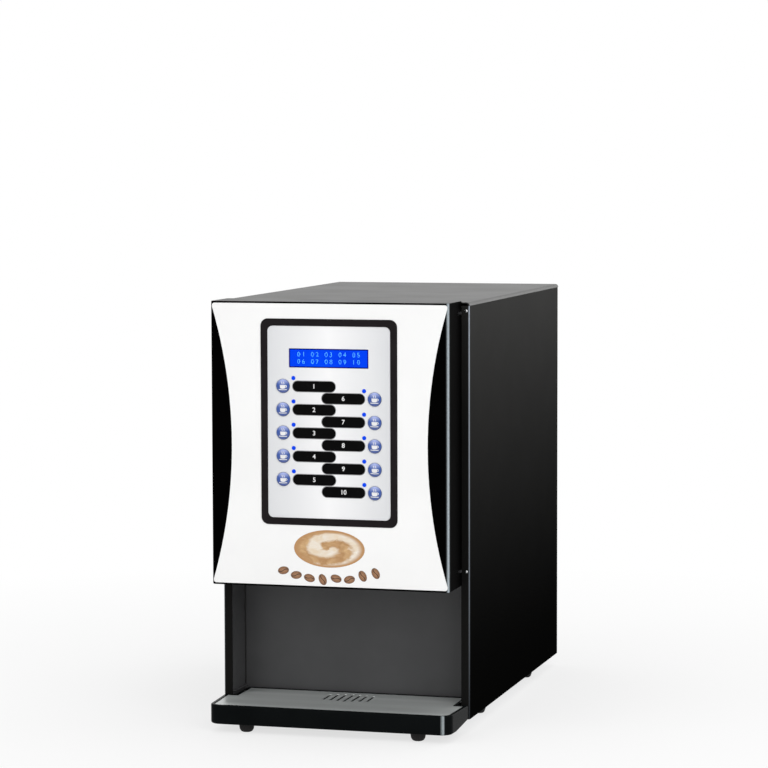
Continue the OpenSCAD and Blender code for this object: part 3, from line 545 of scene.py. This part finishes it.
shank = geo(tree, "MeshCylinder", Vertices=20, Radius=size.Shank_Radius, Depth=size.Shank_Length)
screw = together(cut.outputs[0], moved(shank, (0, 0, -shank_l / 2)))
row = geo(tree, "InstanceOnPoints", Points=places, Instance=screw)
screw_middle = (0, screws_high.y - head_h, (screws_low.z + screws_high.z) / 2)
screws = moved(row, screw_middle, to_back)
fit("panel_screws_crossed", grow(screws), bright_zinc, "panel_screws", stands_for=True, smooth=30)

# Top cover: sheet under a smoother satin coat than the sides, bent down on a radius at both sides and
# hooked inside the other panels.
top_paint = finish("top_paint", ((0.032, 0.032, 0.031), (0.038, 0.038, 0.036)), 70, (0.37, 0.41), 1.4,
                   0.006, gloss=0.2)
edged("top_cover", top_paint, 0.3 * mm)

# Hinges: two blackened steel brackets behind the right flange, each with a lug and a pin for the door.
# A bright rivet holds each one to the flange, level with its lug.
blackened_steel = finish("blackened_steel", ((0.010, 0.010, 0.011), (0.018, 0.018, 0.020)), 8, (0.4, 0.5),
                         0.5, 0.006, gloss=0.1)
edged("hinge_brackets", blackened_steel, 0.3 * mm)
rivet_inset, rivet_z = 4.2 * mm, 191.5 * mm


def vector(tree, x=0.0, y=0.0, z=0.0):
    """Three numbers of a tree as one vector."""
    return add_node(tree, "ShaderNodeCombineXYZ", X=x, Y=y, Z=z).outputs[0]


tree, size = new_tree("hinge_rivets", Apart=306.5 * mm, Radius=1.7 * mm, Crown=0.45)
places = geo(tree, "MeshLine", Count=2, Offset=vector(tree, z=size.Apart))
ball = geo(tree, "MeshUVSphere", Segments=20, Rings=10, Radius=size.Radius)
head = moved(ball, scale=vector(tree, 1.0, size.Crown, 1.0))
row = geo(tree, "InstanceOnPoints", Points=places, Instance=head)
rivets = moved(row, (panel_high.x - rivet_inset, panel_low.y, rivet_z))
fit("hinge_rivets", grow(rivets), bright_zinc, "hinge_brackets")

# Door shell: a deep gloss black moulding, open at the back, with a shallow bed for the white panel.
# Its upright front corners are rounded, the one on the hinge side carries a painted highlight, and
# its top shines.
door_plastic = finish("door_plastic", ((0.0007, 0.0006, 0.0006), (0.0011, 0.0010, 0.0010)), 70,
                      (0.34, 0.40), 2.2, 0.006, rub=(0.46, 0.52, 0.56))
tree = door_plastic.node_tree
drive("Specular IOR Level", ranged(facing(tree, 2), 0.8, 0.95, 0.001, 0.2))
door_low, door_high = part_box("door_shell")
door_corner_r = 4.5 * mm


def on_door_rim(edge):
    """True for an edge round the door's top or foot."""
    middle = (edge.verts[0].co + edge.verts[1].co) / 2
    return min(abs(middle.z - door_low.z), abs(middle.z - door_high.z)) < 0.01 * mm


# The upright corner on the hinge side is marked for a painted highlight.
edged("door_shell", door_plastic, 0.2 * mm, rounds=[(1.0 * mm, on_door_rim)],
      mark=lambda work: mark_rubbed(work, 1, door_high.x, door_low.y, door_corner_r))

# Door liner: the flat zinc-coated sheet that closes the moulding's back and covers the board behind
# the keypad.
edged("door_liner", zinc_sheet, 0.3 * mm)

# Door lock: a chromed key barrel in the door's left wall. A quarter turn takes its cam behind the tab
# on the cabinet's left flange.
chrome = finish("chrome", ((0.60, 0.60, 0.60), (0.70, 0.70, 0.70)), 10, (0.08, 0.16), 0.5, 0.002,
                Metallic=1.0)
edged("lock_barrel", chrome, 0.3 * mm)

# White panel: a glossy white acrylic sheet let into the door's front, drawn in to a waist at the
# sides. An oval of coffee with a swirl of cream is printed below the keypad, over a row of beans.
white_panel = finish("white_panel", ((0.885, 0.885, 0.88), (0.915, 0.915, 0.91)), 80, (0.16, 0.22), 3.0,
                     0.004, gloss=0.4)
edged("graphic_panel", white_panel, 0.2 * mm)
panel_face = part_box("graphic_panel")[0].y


def slab(outline, thickness):
    """A flat outline as a closed slab that stands up from its plane."""
    tree = outline.id_data
    sheet = geo(tree, "FillCurve", {"mode": "NGONS"}, Curve=outline)
    raised = geo(tree, "ExtrudeMesh", Mesh=sheet, Offset_Scale=thickness, Individual=False)
    back = geo(tree, "FlipFaces", Mesh=sheet)
    return geo(tree, "MergeByDistance", Geometry=together(raised, back), Distance=0.001 * mm)


def vector_math(operation, first, second=(0, 0, 0)):
    """A node that works with vectors, in their tree."""
    return add_node(first.id_data, "ShaderNodeVectorMath", {"operation": operation}, _0=first, _1=second)


def printed_oval(tree, size):
    """An oval slab that carries where each point lies in it, from -1 to 1 both ways."""
    ring = geo(tree, "CurvePrimitiveCircle", Resolution=64, Radius=1.0)
    inside = vector_math("MULTIPLY", geo(tree, "InputPosition"), (1, 1, 0)).outputs[0]
    marked = geo(tree, "StoreNamedAttribute", {"data_type": "FLOAT_VECTOR"}, Name="inside",
                 Geometry=slab(ring, size.Thickness), Value=inside)
    half_size = vector(tree, sum_of("MULTIPLY", size.Length, 0.5), sum_of("MULTIPLY", size.Breadth, 0.5),
                       1.0)
    return moved(marked, scale=half_size)


def new_print(name):
    """A printed material and its tree, with where a point lies in its oval.

    That is given as a vector, along the oval, over it, and as the way from its middle.
    """
    material, tree = new_material(name)
    inside = add_node(tree, "ShaderNodeAttribute", {"attribute_name": "inside"}).outputs["Vector"]
    off_middle = vector_math("LENGTH", inside).outputs["Value"]
    return material, tree, inside, one_axis(inside, 0), one_axis(inside, 1), off_middle


coffee_print, tree, inside, along, over, off_middle = new_print("coffee_print")
froth = noise(inside, 0.3125, 4, 0.8)
bearing = sum_of("ARCTAN2", over, along)
wind = sum_of("ADD", bearing, sum_of("MULTIPLY", off_middle, 7.5))
swirl = sum_of("SINE", sum_of("ADD", wind, sum_of("MULTIPLY", froth, 3.0)))
foam = mixed(ranged(froth, 0.35, 0.7), (0.76, 0.62, 0.45), (0.84, 0.78, 0.70))
coffee = mixed(ranged(froth, 0.35, 0.65), (0.42, 0.22, 0.085), (0.60, 0.38, 0.18))
poured = mixed(ranged(swirl, -0.35, 0.5), coffee, foam)
poured = mixed(ranged(off_middle, 0.80, 0.94), poured, (0.47, 0.25, 0.10))
drive("Base Color", poured)
drive("Roughness", ranged(froth, 0.3, 0.7, 0.2, 0.28))
oval_z, beans_z = 222 * mm, 186 * mm
tree, size = new_tree("coffee_oval", Length=86 * mm, Breadth=44 * mm, Thickness=0.08 * mm)
oval = moved(printed_oval(tree, size), (0, panel_face, oval_z), to_front)
fit("coffee_oval", grow(oval), coffee_print, "graphic_panel")

bean_print, tree, inside, along, over, off_middle = new_print("bean_print")
bend = sum_of("MULTIPLY", sum_of("SINE", sum_of("MULTIPLY", along, 2.9)), 0.22)
off_crease = sum_of("ABSOLUTE", sum_of("SUBTRACT", over, bend))
roast = mixed(ranged(off_middle, 0.25, 1.0), (0.34, 0.165, 0.075), (0.13, 0.052, 0.022))
fleck = noise(inside, 0.2, 3)
roast = mixed(ranged(fleck, 0.45, 0.75, 0.0, 0.5), roast, (0.46, 0.25, 0.12))
roast = mixed(ranged(off_crease, 0.07, 0.14, 1.0, 0.0), roast, (0.045, 0.018, 0.008))
drive("Base Color", roast)
drive("Roughness", ranged(fleck, 0.3, 0.7, 0.2, 0.3))


def random_vector(tree, low, high, seed):
    """A vector between two others, drawn for each point of a tree."""
    return add_node(tree, "FunctionNodeRandomValue", {"data_type": "FLOAT_VECTOR"}, _0=low, _1=high,
                    Seed=seed).outputs[0]


tree, size = new_tree("bean_row", Arc_Radius=190 * mm, Half_Angle=0.30, Count=8, Length=13.5 * mm,
                      Breadth=9.2 * mm, Thickness=0.12 * mm, Stray=1.2 * mm, Seed=5)
start = sum_of("SUBTRACT", -math.pi / 2, size.Half_Angle)
sweep = sum_of("MULTIPLY", size.Half_Angle, 2.0)
arc = geo(tree, "CurveArc", {"mode": "RADIUS"}, Resolution=65, Radius=size.Arc_Radius, Start_Angle=start,
          Sweep_Angle=sweep)
raised_arc = moved(arc, vector(tree, y=size.Arc_Radius))
places = geo(tree, "CurveToPoints", Curve=raised_arc, Count=size.Count)
low_end = vector(tree, y=sum_of("MULTIPLY", size.Stray, -1.0))
stray = random_vector(tree, low_end, vector(tree, y=size.Stray), size.Seed)
places = geo(tree, "SetPosition", Geometry=places, Offset=stray)
tilt = random_vector(tree, (0, 0, 0), (0, 0, math.pi), size.Seed)
row = geo(tree, "InstanceOnPoints", Points=places, Instance=printed_oval(tree, size), Rotation=tilt)
beans = moved(row, (0, panel_face, beans_z), to_front)
fit("bean_row", grow(beans), bean_print, "graphic_panel")

# Keypad bezel: a black moulded frame round the keypad plate, clipped into the panel's cut-out. It
# stands a little proud of the white sheet.
bezel_black = finish("bezel_black", ((0.0095, 0.0075, 0.0082), (0.012, 0.0098, 0.0106)), 30, (0.36, 0.46),
                     0.7, 0.006, gloss=0.06)
edged("keypad_bezel", bezel_black, 0.5 * mm)

# Keypad plate: an aluminium sheet under a silver print, with a painted sheen that pales it from both
# sides to its middle, and with holes for the buttons, the display and the indicators.
silver_plate = finish("silver_plate", ((0.66, 0.67, 0.69), (0.70, 0.71, 0.725)), 60, (0.28, 0.38), 0.3,
                      0.002, stretch=(1, 1, 2.4), gloss=0.4)
plate_low, plate_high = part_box("keypad_plate")
tree = silver_plate.node_tree
# Painted sheen: the plate's colour pales from both sides to its middle.
across = one_axis(own_place(tree), 0)
painted_sheen = sum_of("PINGPONG", ranged(across, plate_low.x, plate_high.x, 0.0, 2.0), 1.0)
print_colour = tree.nodes["Principled BSDF"].inputs["Base Color"].links[0].from_socket
drive("Base Color", mixed(painted_sheen, print_colour, (0.90, 0.90, 0.905)))
edged("keypad_plate", silver_plate, 0.15 * mm)

# Display: a two-line dot display behind a blue lit window, with a darker mask round its edge.
# The dots show the numbers of the drinks.
edged("display_module", black_plastic, 0.2 * mm)
window_w, window_h, window_t = 95.8 * mm, 21.8 * mm, 0.1 * mm
module_low, module_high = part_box("display_module")
window_z = (module_low.z + module_high.z) / 2
glass_face = module_low.y
display_blue = finish("display_blue", ((0.0, 0.018, 0.42), (0.0, 0.040, 0.52)), 45, (0.1, 0.16), 0.6,
                      0.001, Emission_Color=(0.0, 0.055, 0.95, 1), Emission_Strength=0.45, gloss=0.03)


def oblong(tree, width, height):
    """A flat outline of a width and a height."""
    return geo(tree, "CurvePrimitiveQuadrilateral", Width=width, Height=height)


tree, size = new_tree("display_window", Width=window_w, Height=window_h, Thickness=window_t)
pane = slab(oblong(tree, size.Width, size.Height), size.Thickness)
window = moved(pane, (0, glass_face, window_z), to_front)
fit("display_window", grow(window), display_blue, "display_module")
glass_face -= window_t
mask_blue = finish("mask_blue", ((0.0, 0.004, 0.16), (0.0, 0.008, 0.24)), 14, (0.12, 0.2), 0.6, 0.001,
                   gloss=0.03)
tree, size = new_tree("display_mask", Width=window_w, Height=window_h, Border=1.1 * mm,
                      Thickness=0.15 * mm)
both = sum_of("MULTIPLY", size.Border, 2.0)
inner_w, inner_h = (sum_of("SUBTRACT", whole, both) for whole in (size.Width, size.Height))
outlines = together(oblong(tree, size.Width, size.Height), oblong(tree, inner_w, inner_h))
mask = moved(slab(outlines, size.Thickness), (0, glass_face, window_z), to_front)
fit("display_mask", grow(mask), mask_blue, "display_module")
lit_dot = finish("lit_dot", ((0.06, 0.40, 0.80), (0.10, 0.48, 0.85)), 4, (0.2, 0.3), 0.5, 0.001,
                 Emission_Color=(0.10, 0.48, 1.0, 1), Emission_Strength=0.4, gloss=0.1)
dot_t, dot_sink = 0.1 * mm, 0.04 * mm
tree, size = new_tree("display_dots", First_Line="01 02 03 04 05", Second_Line="06 07 08 09 10",
                      Letter_Height=7.6 * mm, Line_Step=8.2 * mm, Dot=0.62 * mm, Dot_Pitch=0.72 * mm,
                      Columns=113, Rows=26)
lines = []
for line, lift in ((size.First_Line, 0.5), (size.Second_Line, -0.5)):
    words = geo(tree, "StringToCurves", {"align_x": "CENTER", "align_y": "MIDDLE"}, String=line,
                Size=size.Letter_Height, Character_Spacing=1.5, Word_Spacing=1.6)
    drop = vector(tree, y=sum_of("MULTIPLY", size.Line_Step, lift))
    lines.append(moved(words, drop))
drawn = geo(tree, "RealizeInstances", Geometry=together(*lines))
drawn = geo(tree, "FillCurve", Curve=drawn)
spans = [sum_of("MULTIPLY", sum_of("SUBTRACT", count, 1.0), size.Dot_Pitch)
         for count in (size.Columns, size.Rows)]
field = geo(tree, "MeshGrid", Size_X=spans[0], Size_Y=spans[1], Vertices_X=size.Columns,
            Vertices_Y=size.Rows)
above = vector_math("ADD", geo(tree, "InputPosition"), (0, 0, 0.01)).outputs[0]
lit = geo(tree, "Raycast", Target_Geometry=drawn, Source_Position=above, Ray_Direction=(0, 0, -1),
          Ray_Length=1.0)
dot = geo(tree, "MeshCube", Size=vector(tree, size.Dot, size.Dot, dot_t))
pattern = geo(tree, "InstanceOnPoints", Points=field, Selection=lit, Instance=dot)
dots = moved(pattern, (0, glass_face - dot_sink, window_z), to_front)
fit("display_dots", grow(dots), lit_dot, "display_module")

# Labels: ten gloss black lozenges stuck on the plate, one beside each button, with a rounded rim, a
# grey border round it as a painted drop shadow, and a white number.
label_black = finish("label_black", ((0.0016, 0.0016, 0.0016), (0.0026, 0.0026, 0.0026)), 20, (0.2, 0.28),
                     0.6, 0.002, gloss=0.03)
key_places = [sum(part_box(f"button_{number}"), Vector()) / 2 for number in range(1, 11)]
left_key, right_key = key_places[0], key_places[5]
keys = {"First_Height": left_key.z, "Pitch": left_key.z - key_places[1].z,
        "Column_Drop": left_key.z - right_key.z, "Keys_In_Column": 5}


def on_key_rows(tree, size, shape, face):
    """A shape of a tree set at every key, in two columns that stand half a step apart."""
    index = geo(tree, "InputIndex")
    column = sum_of("FLOOR", sum_of("DIVIDE", index, size.Keys_In_Column))
    row = sum_of("MODULO", index, size.Keys_In_Column)
    across = sum_of("MULTIPLY", sum_of("SUBTRACT", column, 0.5), size.Columns_Apart)
    fall = sum_of("ADD", sum_of("MULTIPLY", row, size.Pitch),
                  sum_of("MULTIPLY", column, size.Column_Drop))
    height = sum_of("SUBTRACT", size.First_Height, fall)
    count = sum_of("MULTIPLY", size.Keys_In_Column, 2.0)
    points = geo(tree, "Points", Count=count, Position=vector(tree, across, face, height))
    return geo(tree, "InstanceOnPoints", Points=points, Instance=moved(shape, turn=to_front))


labels_low, labels_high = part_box("label_strips")
label_w, label_h, label_t = 52 * mm, 12.4 * mm, labels_high.y - labels_low.y
labels = {**keys, "Columns_Apart": labels_high.x - labels_low.x - label_w, "Width": label_w,
          "Height": label_h, "Corner": 6 * mm, "Thickness": label_t}


def lozenges(name, sizes):
    """A mesh of one lozenge at every key, standing up from the plate."""
    tree, size = new_tree(name, **sizes)
    outline = oblong(tree, size.Width, size.Height)
    rounded = geo(tree, "FilletCurve", {"mode": "POLY"}, Curve=outline, Count=9, Radius=size.Corner)
    raised = slab(rounded, size.Thickness)
    return grow(on_key_rows(tree, size, raised, labels_high.y))


# A thin grey border round each label, a painted drop shadow.
drop_shadow_grey = finish("drop_shadow_grey", ((0.34, 0.34, 0.35), (0.40, 0.40, 0.41)), 9, (0.4, 0.5), 0.4, 0.002)
shadow_margin = 0.7 * mm
drop_shadow_sizes = {**labels, "Width": label_w + 2 * shadow_margin, "Height": label_h + 2 * shadow_margin,
           "Corner": labels["Corner"] + shadow_margin, "Thickness": 0.05 * mm}
fit("label_drop_shadows", lozenges("label_drop_shadows", drop_shadow_sizes), drop_shadow_grey, "label_strips")
mesh = lozenges("label_lozenges", labels)
work = bmesh.new()
work.from_mesh(mesh)
bpy.data.meshes.remove(mesh)
outer_face = labels_low.y + 0.01 * mm
rim = [e for e in sharp_edges(work) if max(v.co.y for v in e.verts) < outer_face]
break_edges(work, rim, 0.35 * mm, 3)
fit("label_lozenges", work, label_black, "label_strips", stands_for=True)

white_ink = finish("white_ink", ((0.74, 0.74, 0.74), (0.82, 0.82, 0.82)), 5, (0.35, 0.45), 0.4, 0.002)


def number_mesh(work, number, place, height):
    """Adds a number that stands at a place and faces the front to a mesh in the making."""
    letters = bpy.data.curves.new("number", "FONT")
    letters.body = str(number)
    letters.align_x, letters.align_y = "CENTER", "CENTER"
    letters.size, letters.extrude, letters.offset = height, 0.03 * mm, 0.12 * mm
    letters.resolution_u = 4
    mesh = baked(in_scene("number", letters))
    mesh.transform(Matrix.Translation(place) @ Matrix.Rotation(math.pi / 2, 4, "X"))
    work.from_mesh(mesh)
    bpy.data.curves.remove(letters)
    bpy.data.meshes.remove(mesh)


work = bmesh.new()
number_h = 7.5 * mm
for number, key in enumerate(key_places, 1):
    label_x = math.copysign(labels["Columns_Apart"] / 2, key.x)
    number_mesh(work, number, (label_x, labels_low.y, key.z), number_h)
bmesh.ops.remove_doubles(work, verts=work.verts, dist=weld)
fit("label_numbers", work, white_ink, "label_strips")

# Indicators: ten small domed lenses of clear blue plastic, one beside each button. They are pushed
# into the plate and lit from behind.
led_blue = finish("led_blue", ((0.0, 0.03, 0.45), (0.0, 0.05, 0.50)), 3, (0.1, 0.2), 0.5, 0.002,
                  Emission_Color=(0.004, 0.065, 0.9, 1), Emission_Strength=0.45, gloss=0.06)
lens_low, lens_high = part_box("indicator_leds")
lens_r = 2.4 * mm
lenses = {**keys, "First_Height": lens_high.z - lens_r}
tree, size = new_tree("indicator_lenses", **lenses, Columns_Apart=lens_high.x - lens_low.x - 2 * lens_r,
                      Radius=lens_r, Crown=0.33)
ball = geo(tree, "MeshUVSphere", Segments=24, Rings=12, Radius=size.Radius)
dome = moved(ball, scale=vector(tree, 1.0, 1.0, size.Crown))
mesh = grow(on_key_rows(tree, size, dome, plate_low.y))
fit("indicator_lenses", mesh, led_blue, "indicator_leds", stands_for=True)

# Control board: a green printed board on four stand-offs behind the plate, with a key switch under
# each button, a chip, a connector and three capacitors.
board_green = finish("board_green", ((0.02, 0.14, 0.05), (0.035, 0.19, 0.08)), 8, (0.3, 0.45), 0.5, 0.006)
edged("control_board", board_green, 0.2 * mm)

# Drink buttons: ten crowned caps turned in blue translucent plastic, each with a flange behind the
# plate and a stem over its key switch. Their blue is painted by height as light and shade: greyer at
# the foot, deep in between and pale at the top middle as a painted highlight. A white cup and saucer
# is printed on each, and a pale collar is rolled round its hole in the plate.
button_blue, tree = new_material("button_blue")
lift = attribute(tree, "lift")
# Painted light on the caps: greyer at the foot, deep blue in between, pale at the top middle as a painted
# highlight.
painted_shade_blue = mixed(ranged(lift, 0.02, 0.30), (0.085, 0.12, 0.30), (0.042, 0.095, 0.35))
painted_light_blue = mixed(ranged(lift, 0.45, 0.95), painted_shade_blue, (0.45, 0.52, 0.85))
cloud = noise(own_place(tree), 4 * mm, 2)
painted_light_blue = mixed(ranged(cloud, 0.35, 0.75, 0.0, 0.1), painted_light_blue, (0.12, 0.19, 0.50))
drive("Base Color", painted_light_blue)
drive("Roughness", ranged(cloud, 0.3, 0.7, 0.12, 0.2))
tree.nodes["Principled BSDF"].inputs["Specular IOR Level"].default_value = 0.25
cap_r, flange_r, stem_r = 8 * mm, 9.4 * mm, 3 * mm
cap_proud, crown_h, crown_share, crown_turn = 1.2 * mm, 0.30 * mm, 0.86, 1.2
shoulder_r, shoulder_h, shoulder_y = 0.75 * mm, 0.62 * mm, -0.25 * mm
flange_front, flange_back, stem_end = 2.2 * mm, 3.4 * mm, 5.0 * mm


def turned_cap(place, face):
    """A button's cap, flange and stem, turned on the axis through its place, marked for its painted
    light.
    """
    crown = [(cap_r * math.sin(a) * crown_share,
              crown_h * (1 - math.cos(a)) / (1 - math.cos(crown_turn)) - cap_proud)
             for a in (k / 6 * crown_turn for k in range(7))]
    shoulder = [(cap_r - (1 - math.sin(a)) * shoulder_r, shoulder_y - shoulder_h * math.cos(a))
                for a in (k / 4 * math.pi / 2 for k in range(5))]
    rear = [(cap_r, flange_front), (flange_r, flange_front), (flange_r, flange_back),
            (stem_r, flange_back), (stem_r, stem_end), (0.0, stem_end)]
    work = bmesh.new()
    ring = [work.verts.new((place.x + r, face + y, place.z)) for r, y in crown + shoulder + rear]
    line = [work.edges.new(pair) for pair in zip(ring, ring[1:])]
    bmesh.ops.spin(work, geom=ring + line, cent=(place.x, face, place.z), axis=(0, 1, 0),
                   angle=2 * math.pi, steps=48, use_merge=True)
    bmesh.ops.remove_doubles(work, verts=work.verts, dist=weld)
    bmesh.ops.recalc_face_normals(work, faces=work.faces)
    # lift runs from the foot of the cap to its top middle, and sets its painted light.
    lift = work.verts.layers.float.new("lift")
    for vert in work.verts:
        vert[lift] = 0.5 + (vert.co.z - place.z - 0.5 * abs(vert.co.x - place.x)) / (2 * cap_r)
    return work


def cup_mark(place, face):
    """A flat cup with a handle, over a saucer, with two wisps of steam, drawn in steps of one unit."""
    work = bmesh.new()
    unit, ink_t = 1.2 * mm, 0.08 * mm

    def add_flat(points):
        """Adds an outline of points as a flat print."""
        draw_out(work, [(place.x + x * unit, face, place.z + z * unit) for x, z in points],
                 (0, -ink_t, 0))

    def stroke(line, width):
        """A line of points as a flat strip of one width."""
        sides = []
        for k, (x, z) in enumerate(line):
            (x0, z0), (x1, z1) = line[max(k - 1, 0)], line[min(k + 1, len(line) - 1)]
            length = math.hypot(x1 - x0, z1 - z0)
            sides.append(((z1 - z0) / length * width / 2, -(x1 - x0) / length * width / 2))
        add_flat([(x + a, z + b) for (x, z), (a, b) in zip(line, sides)]
                 + [(x - a, z - b) for (x, z), (a, b) in zip(line, sides)][::-1])

    bowl = [(-2.7 * math.cos(a), -1.3 - 1.2 * math.sin(a)) for a in (k / 8 * math.pi for k in range(9))]
    add_flat([(-2.9, 1.2)] + bowl + [(2.9, 1.2)])
    handle_turns = [0.15 + k / 8 * 2.8 for k in range(9)]
    stroke([(2.7 + 1.25 * math.sin(a), -0.1 + 1.05 * math.cos(a)) for a in handle_turns], 0.6)
    stroke([(-4.0, -3.2), (0.0, -3.45), (4.0, -3.2)], 0.7)
    for side in (-1, 1):
        stroke([(side * 1.0 + 0.35 * math.sin(k * 0.9), 2.0 + k * 0.42) for k in range(7)], 0.55)
    return work


mark_drop = Vector((0, 0, 0.2 * mm))
mark_face = plate_low.y - 1.13 * mm
for number, key in enumerate(key_places, 1):
    node = f"button_{number}"
    fit(node + "_cap", turned_cap(key, plate_low.y), button_blue, node, stands_for=True)
    fit(node + "_mark", cup_mark(key - mark_drop, mark_face), white_ink, node)
tree, size = new_tree("button_collars", **keys, Columns_Apart=right_key.x - left_key.x, Radius=9.0 * mm,
                      Bead=0.55 * mm)
ring = geo(tree, "CurvePrimitiveCircle", Resolution=48, Radius=size.Radius)
bead = geo(tree, "CurvePrimitiveCircle", Resolution=8, Radius=size.Bead)
rolled = geo(tree, "CurveToMesh", Curve=ring, Profile_Curve=bead)
mesh = grow(on_key_rows(tree, size, rolled, plate_low.y))
fit("button_collars", mesh, silver_plate, "keypad_plate")

# Drip tray: a gloss black moulded basin with a rounded rim and foot, which slides into the bay on the
# base pan and stands on two rubber feet in front. Its right front corner has a painted highlight.
tray_plastic = finish("tray_plastic", ((0.0034, 0.0041, 0.0044), (0.0048, 0.0058, 0.0061)), 60,
                      (0.16, 0.24), 2.0, 0.006, rub=(0.46, 0.52, 0.54), gloss=0.012)
tray_low, tray_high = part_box("drip_tray")
tray_middle = Vector((0, (tray_low.y + tray_high.y) / 2, 0))


def on_outer_rim(edge, up):
    """True for an edge between the tray's outer wall and a face that looks up, or down if up is -1."""
    wall = [f for f in edge.link_faces if abs(f.normal.z) < 0.1]
    lid = [f for f in edge.link_faces if up * f.normal.z > 0.9]
    away = (edge.verts[0].co + edge.verts[1].co) / 2 - tray_middle
    return bool(wall and lid) and wall[0].normal.dot(away) > 0


tray_front_half, tray_corner_r = 147.5 * mm, 14 * mm
# The right front corner is marked for a painted highlight, a narrow band near the front.
edged("drip_tray", tray_plastic, 0.4 * mm, rounds=[(1.4 * mm, lambda e: on_outer_rim(e, 1)),
                                                   (2.2 * mm, lambda e: on_outer_rim(e, -1))],
      mark=lambda work: mark_rubbed(work, 1, tray_front_half, tray_low.y, tray_corner_r, 22, 9))
edged("tray_feet", black_rubber, 0.6 * mm)

# Tray plate: a loose stainless sheet on the basin's ledge, brushed from side to side and slotted where
# the cup stands.
brushed_steel = finish("brushed_steel", ((0.56, 0.59, 0.58), (0.70, 0.73, 0.72)), 30, (0.32, 0.44), 0.3,
                       0.004, stretch=(80, 1, 1), Metallic=0.4)
edged("tray_plate", brushed_steel, 0.25 * mm)

# Stage: a pale floor that turns white with distance, a white room and four large soft lamps. The
# lamps are plain, and the white comes from the floor and the room.
floor_mesh = bpy.data.meshes.new("floor")
reach = 12.0
floor_mesh.from_pydata([(-reach, -reach, 0), (reach, -reach, 0), (reach, reach, 0), (-reach, reach, 0)],
                       [], [(0, 1, 2, 3)])
floor = in_scene("floor", floor_mesh)
floor_material, tree = new_material("pale_floor")
floor_mesh.materials.append(floor_material)
floor_shader = tree.nodes["Principled BSDF"]
floor_shader.inputs["Base Color"].default_value = (0.86, 0.86, 0.86, 1)
floor_shader.inputs["Roughness"].default_value = 0.9
floor_shader.inputs["Specular IOR Level"].default_value = 0.0


def seen_share(tree):
    """1 for what the camera sees straight, in a gloss or through glass, and 0 for light that spreads."""
    path = add_node(tree, "ShaderNodeLightPath").outputs
    straight = sum_of("MAXIMUM", path["Is Camera Ray"], path["Is Glossy Ray"])
    return sum_of("MAXIMUM", straight, path["Is Transmission Ray"])


away = vector_math("LENGTH", own_place(tree)).outputs["Value"]
whitened = sum_of("MULTIPLY", ranged(away, 0.3, 1.2, 0.7, 1.0), seen_share(tree))
white = add_node(tree, "ShaderNodeEmission", Color=(1, 1, 1, 1), Strength=1.0)
blend = add_node(tree, "ShaderNodeMixShader", _0=whitened, _1=floor_shader.outputs[0],
                 _2=white.outputs[0])
tree.links.new(blend.outputs[0], tree.nodes["Material Output"].inputs["Surface"])

world = bpy.data.worlds.new("white_room")
bpy.context.scene.world = world
world.use_nodes = True
tree = world.node_tree
room = tree.nodes["Background"]
room.inputs["Color"].default_value = (1, 1, 1, 1)
room_light = 0.5
tree.links.new(ranged(seen_share(tree), 0.0, 1.0, room_light, 1.0), room.inputs["Strength"])


def soft_lamp(name, place, aim, size, power):
    """A square area lamp at a place, turned to a point."""
    lamp = bpy.data.lights.new(name, "AREA")
    lamp.size = size
    lamp.energy = power
    holder = in_scene(name, lamp)
    holder.location = place
    holder.rotation_euler = (Vector(aim) - Vector(place)).to_track_quat("-Z", "Y").to_euler()


soft_lamp("left_lamp", (-1.9, -2.6, 2.1), (0, 0, 0.25), 2.8, 34)
soft_lamp("right_lamp", (2.4, -2.6, 1.6), (0, 0, 0.25), 2.8, 53)
soft_lamp("top_lamp", (0.2, 0.6, 2.8), (0, 0, 0.4), 2.4, 24)
soft_lamp("back_lamp", (1.5, 2.3, 1.3), (0, 0, 0.45), 2.0, 16)

# Camera: at the photograph's place, far off with a long lens. Its place and its turn were fitted to
# the corners of the cabinet, the door and the tray.
camera = in_scene("camera", bpy.data.cameras.new("camera"))
photo_side, focal_px = 768, 2957.9
camera_place = Matrix.Translation((0.9921, -3.5559, 0.6880))
yaw, pitch, roll = (math.radians(a) for a in (15.774, 4.567, -0.164))
camera.data.sensor_width = 36.0
camera.data.lens = focal_px / photo_side * camera.data.sensor_width
tipped = Matrix.Rotation(math.pi / 2 - pitch, 4, "X") @ Matrix.Rotation(roll, 4, "Z")
camera.matrix_world = camera_place @ Matrix.Rotation(yaw, 4, "Z") @ tipped
bpy.context.scene.camera = camera
bpy.context.scene.view_settings.view_transform = "Standard"
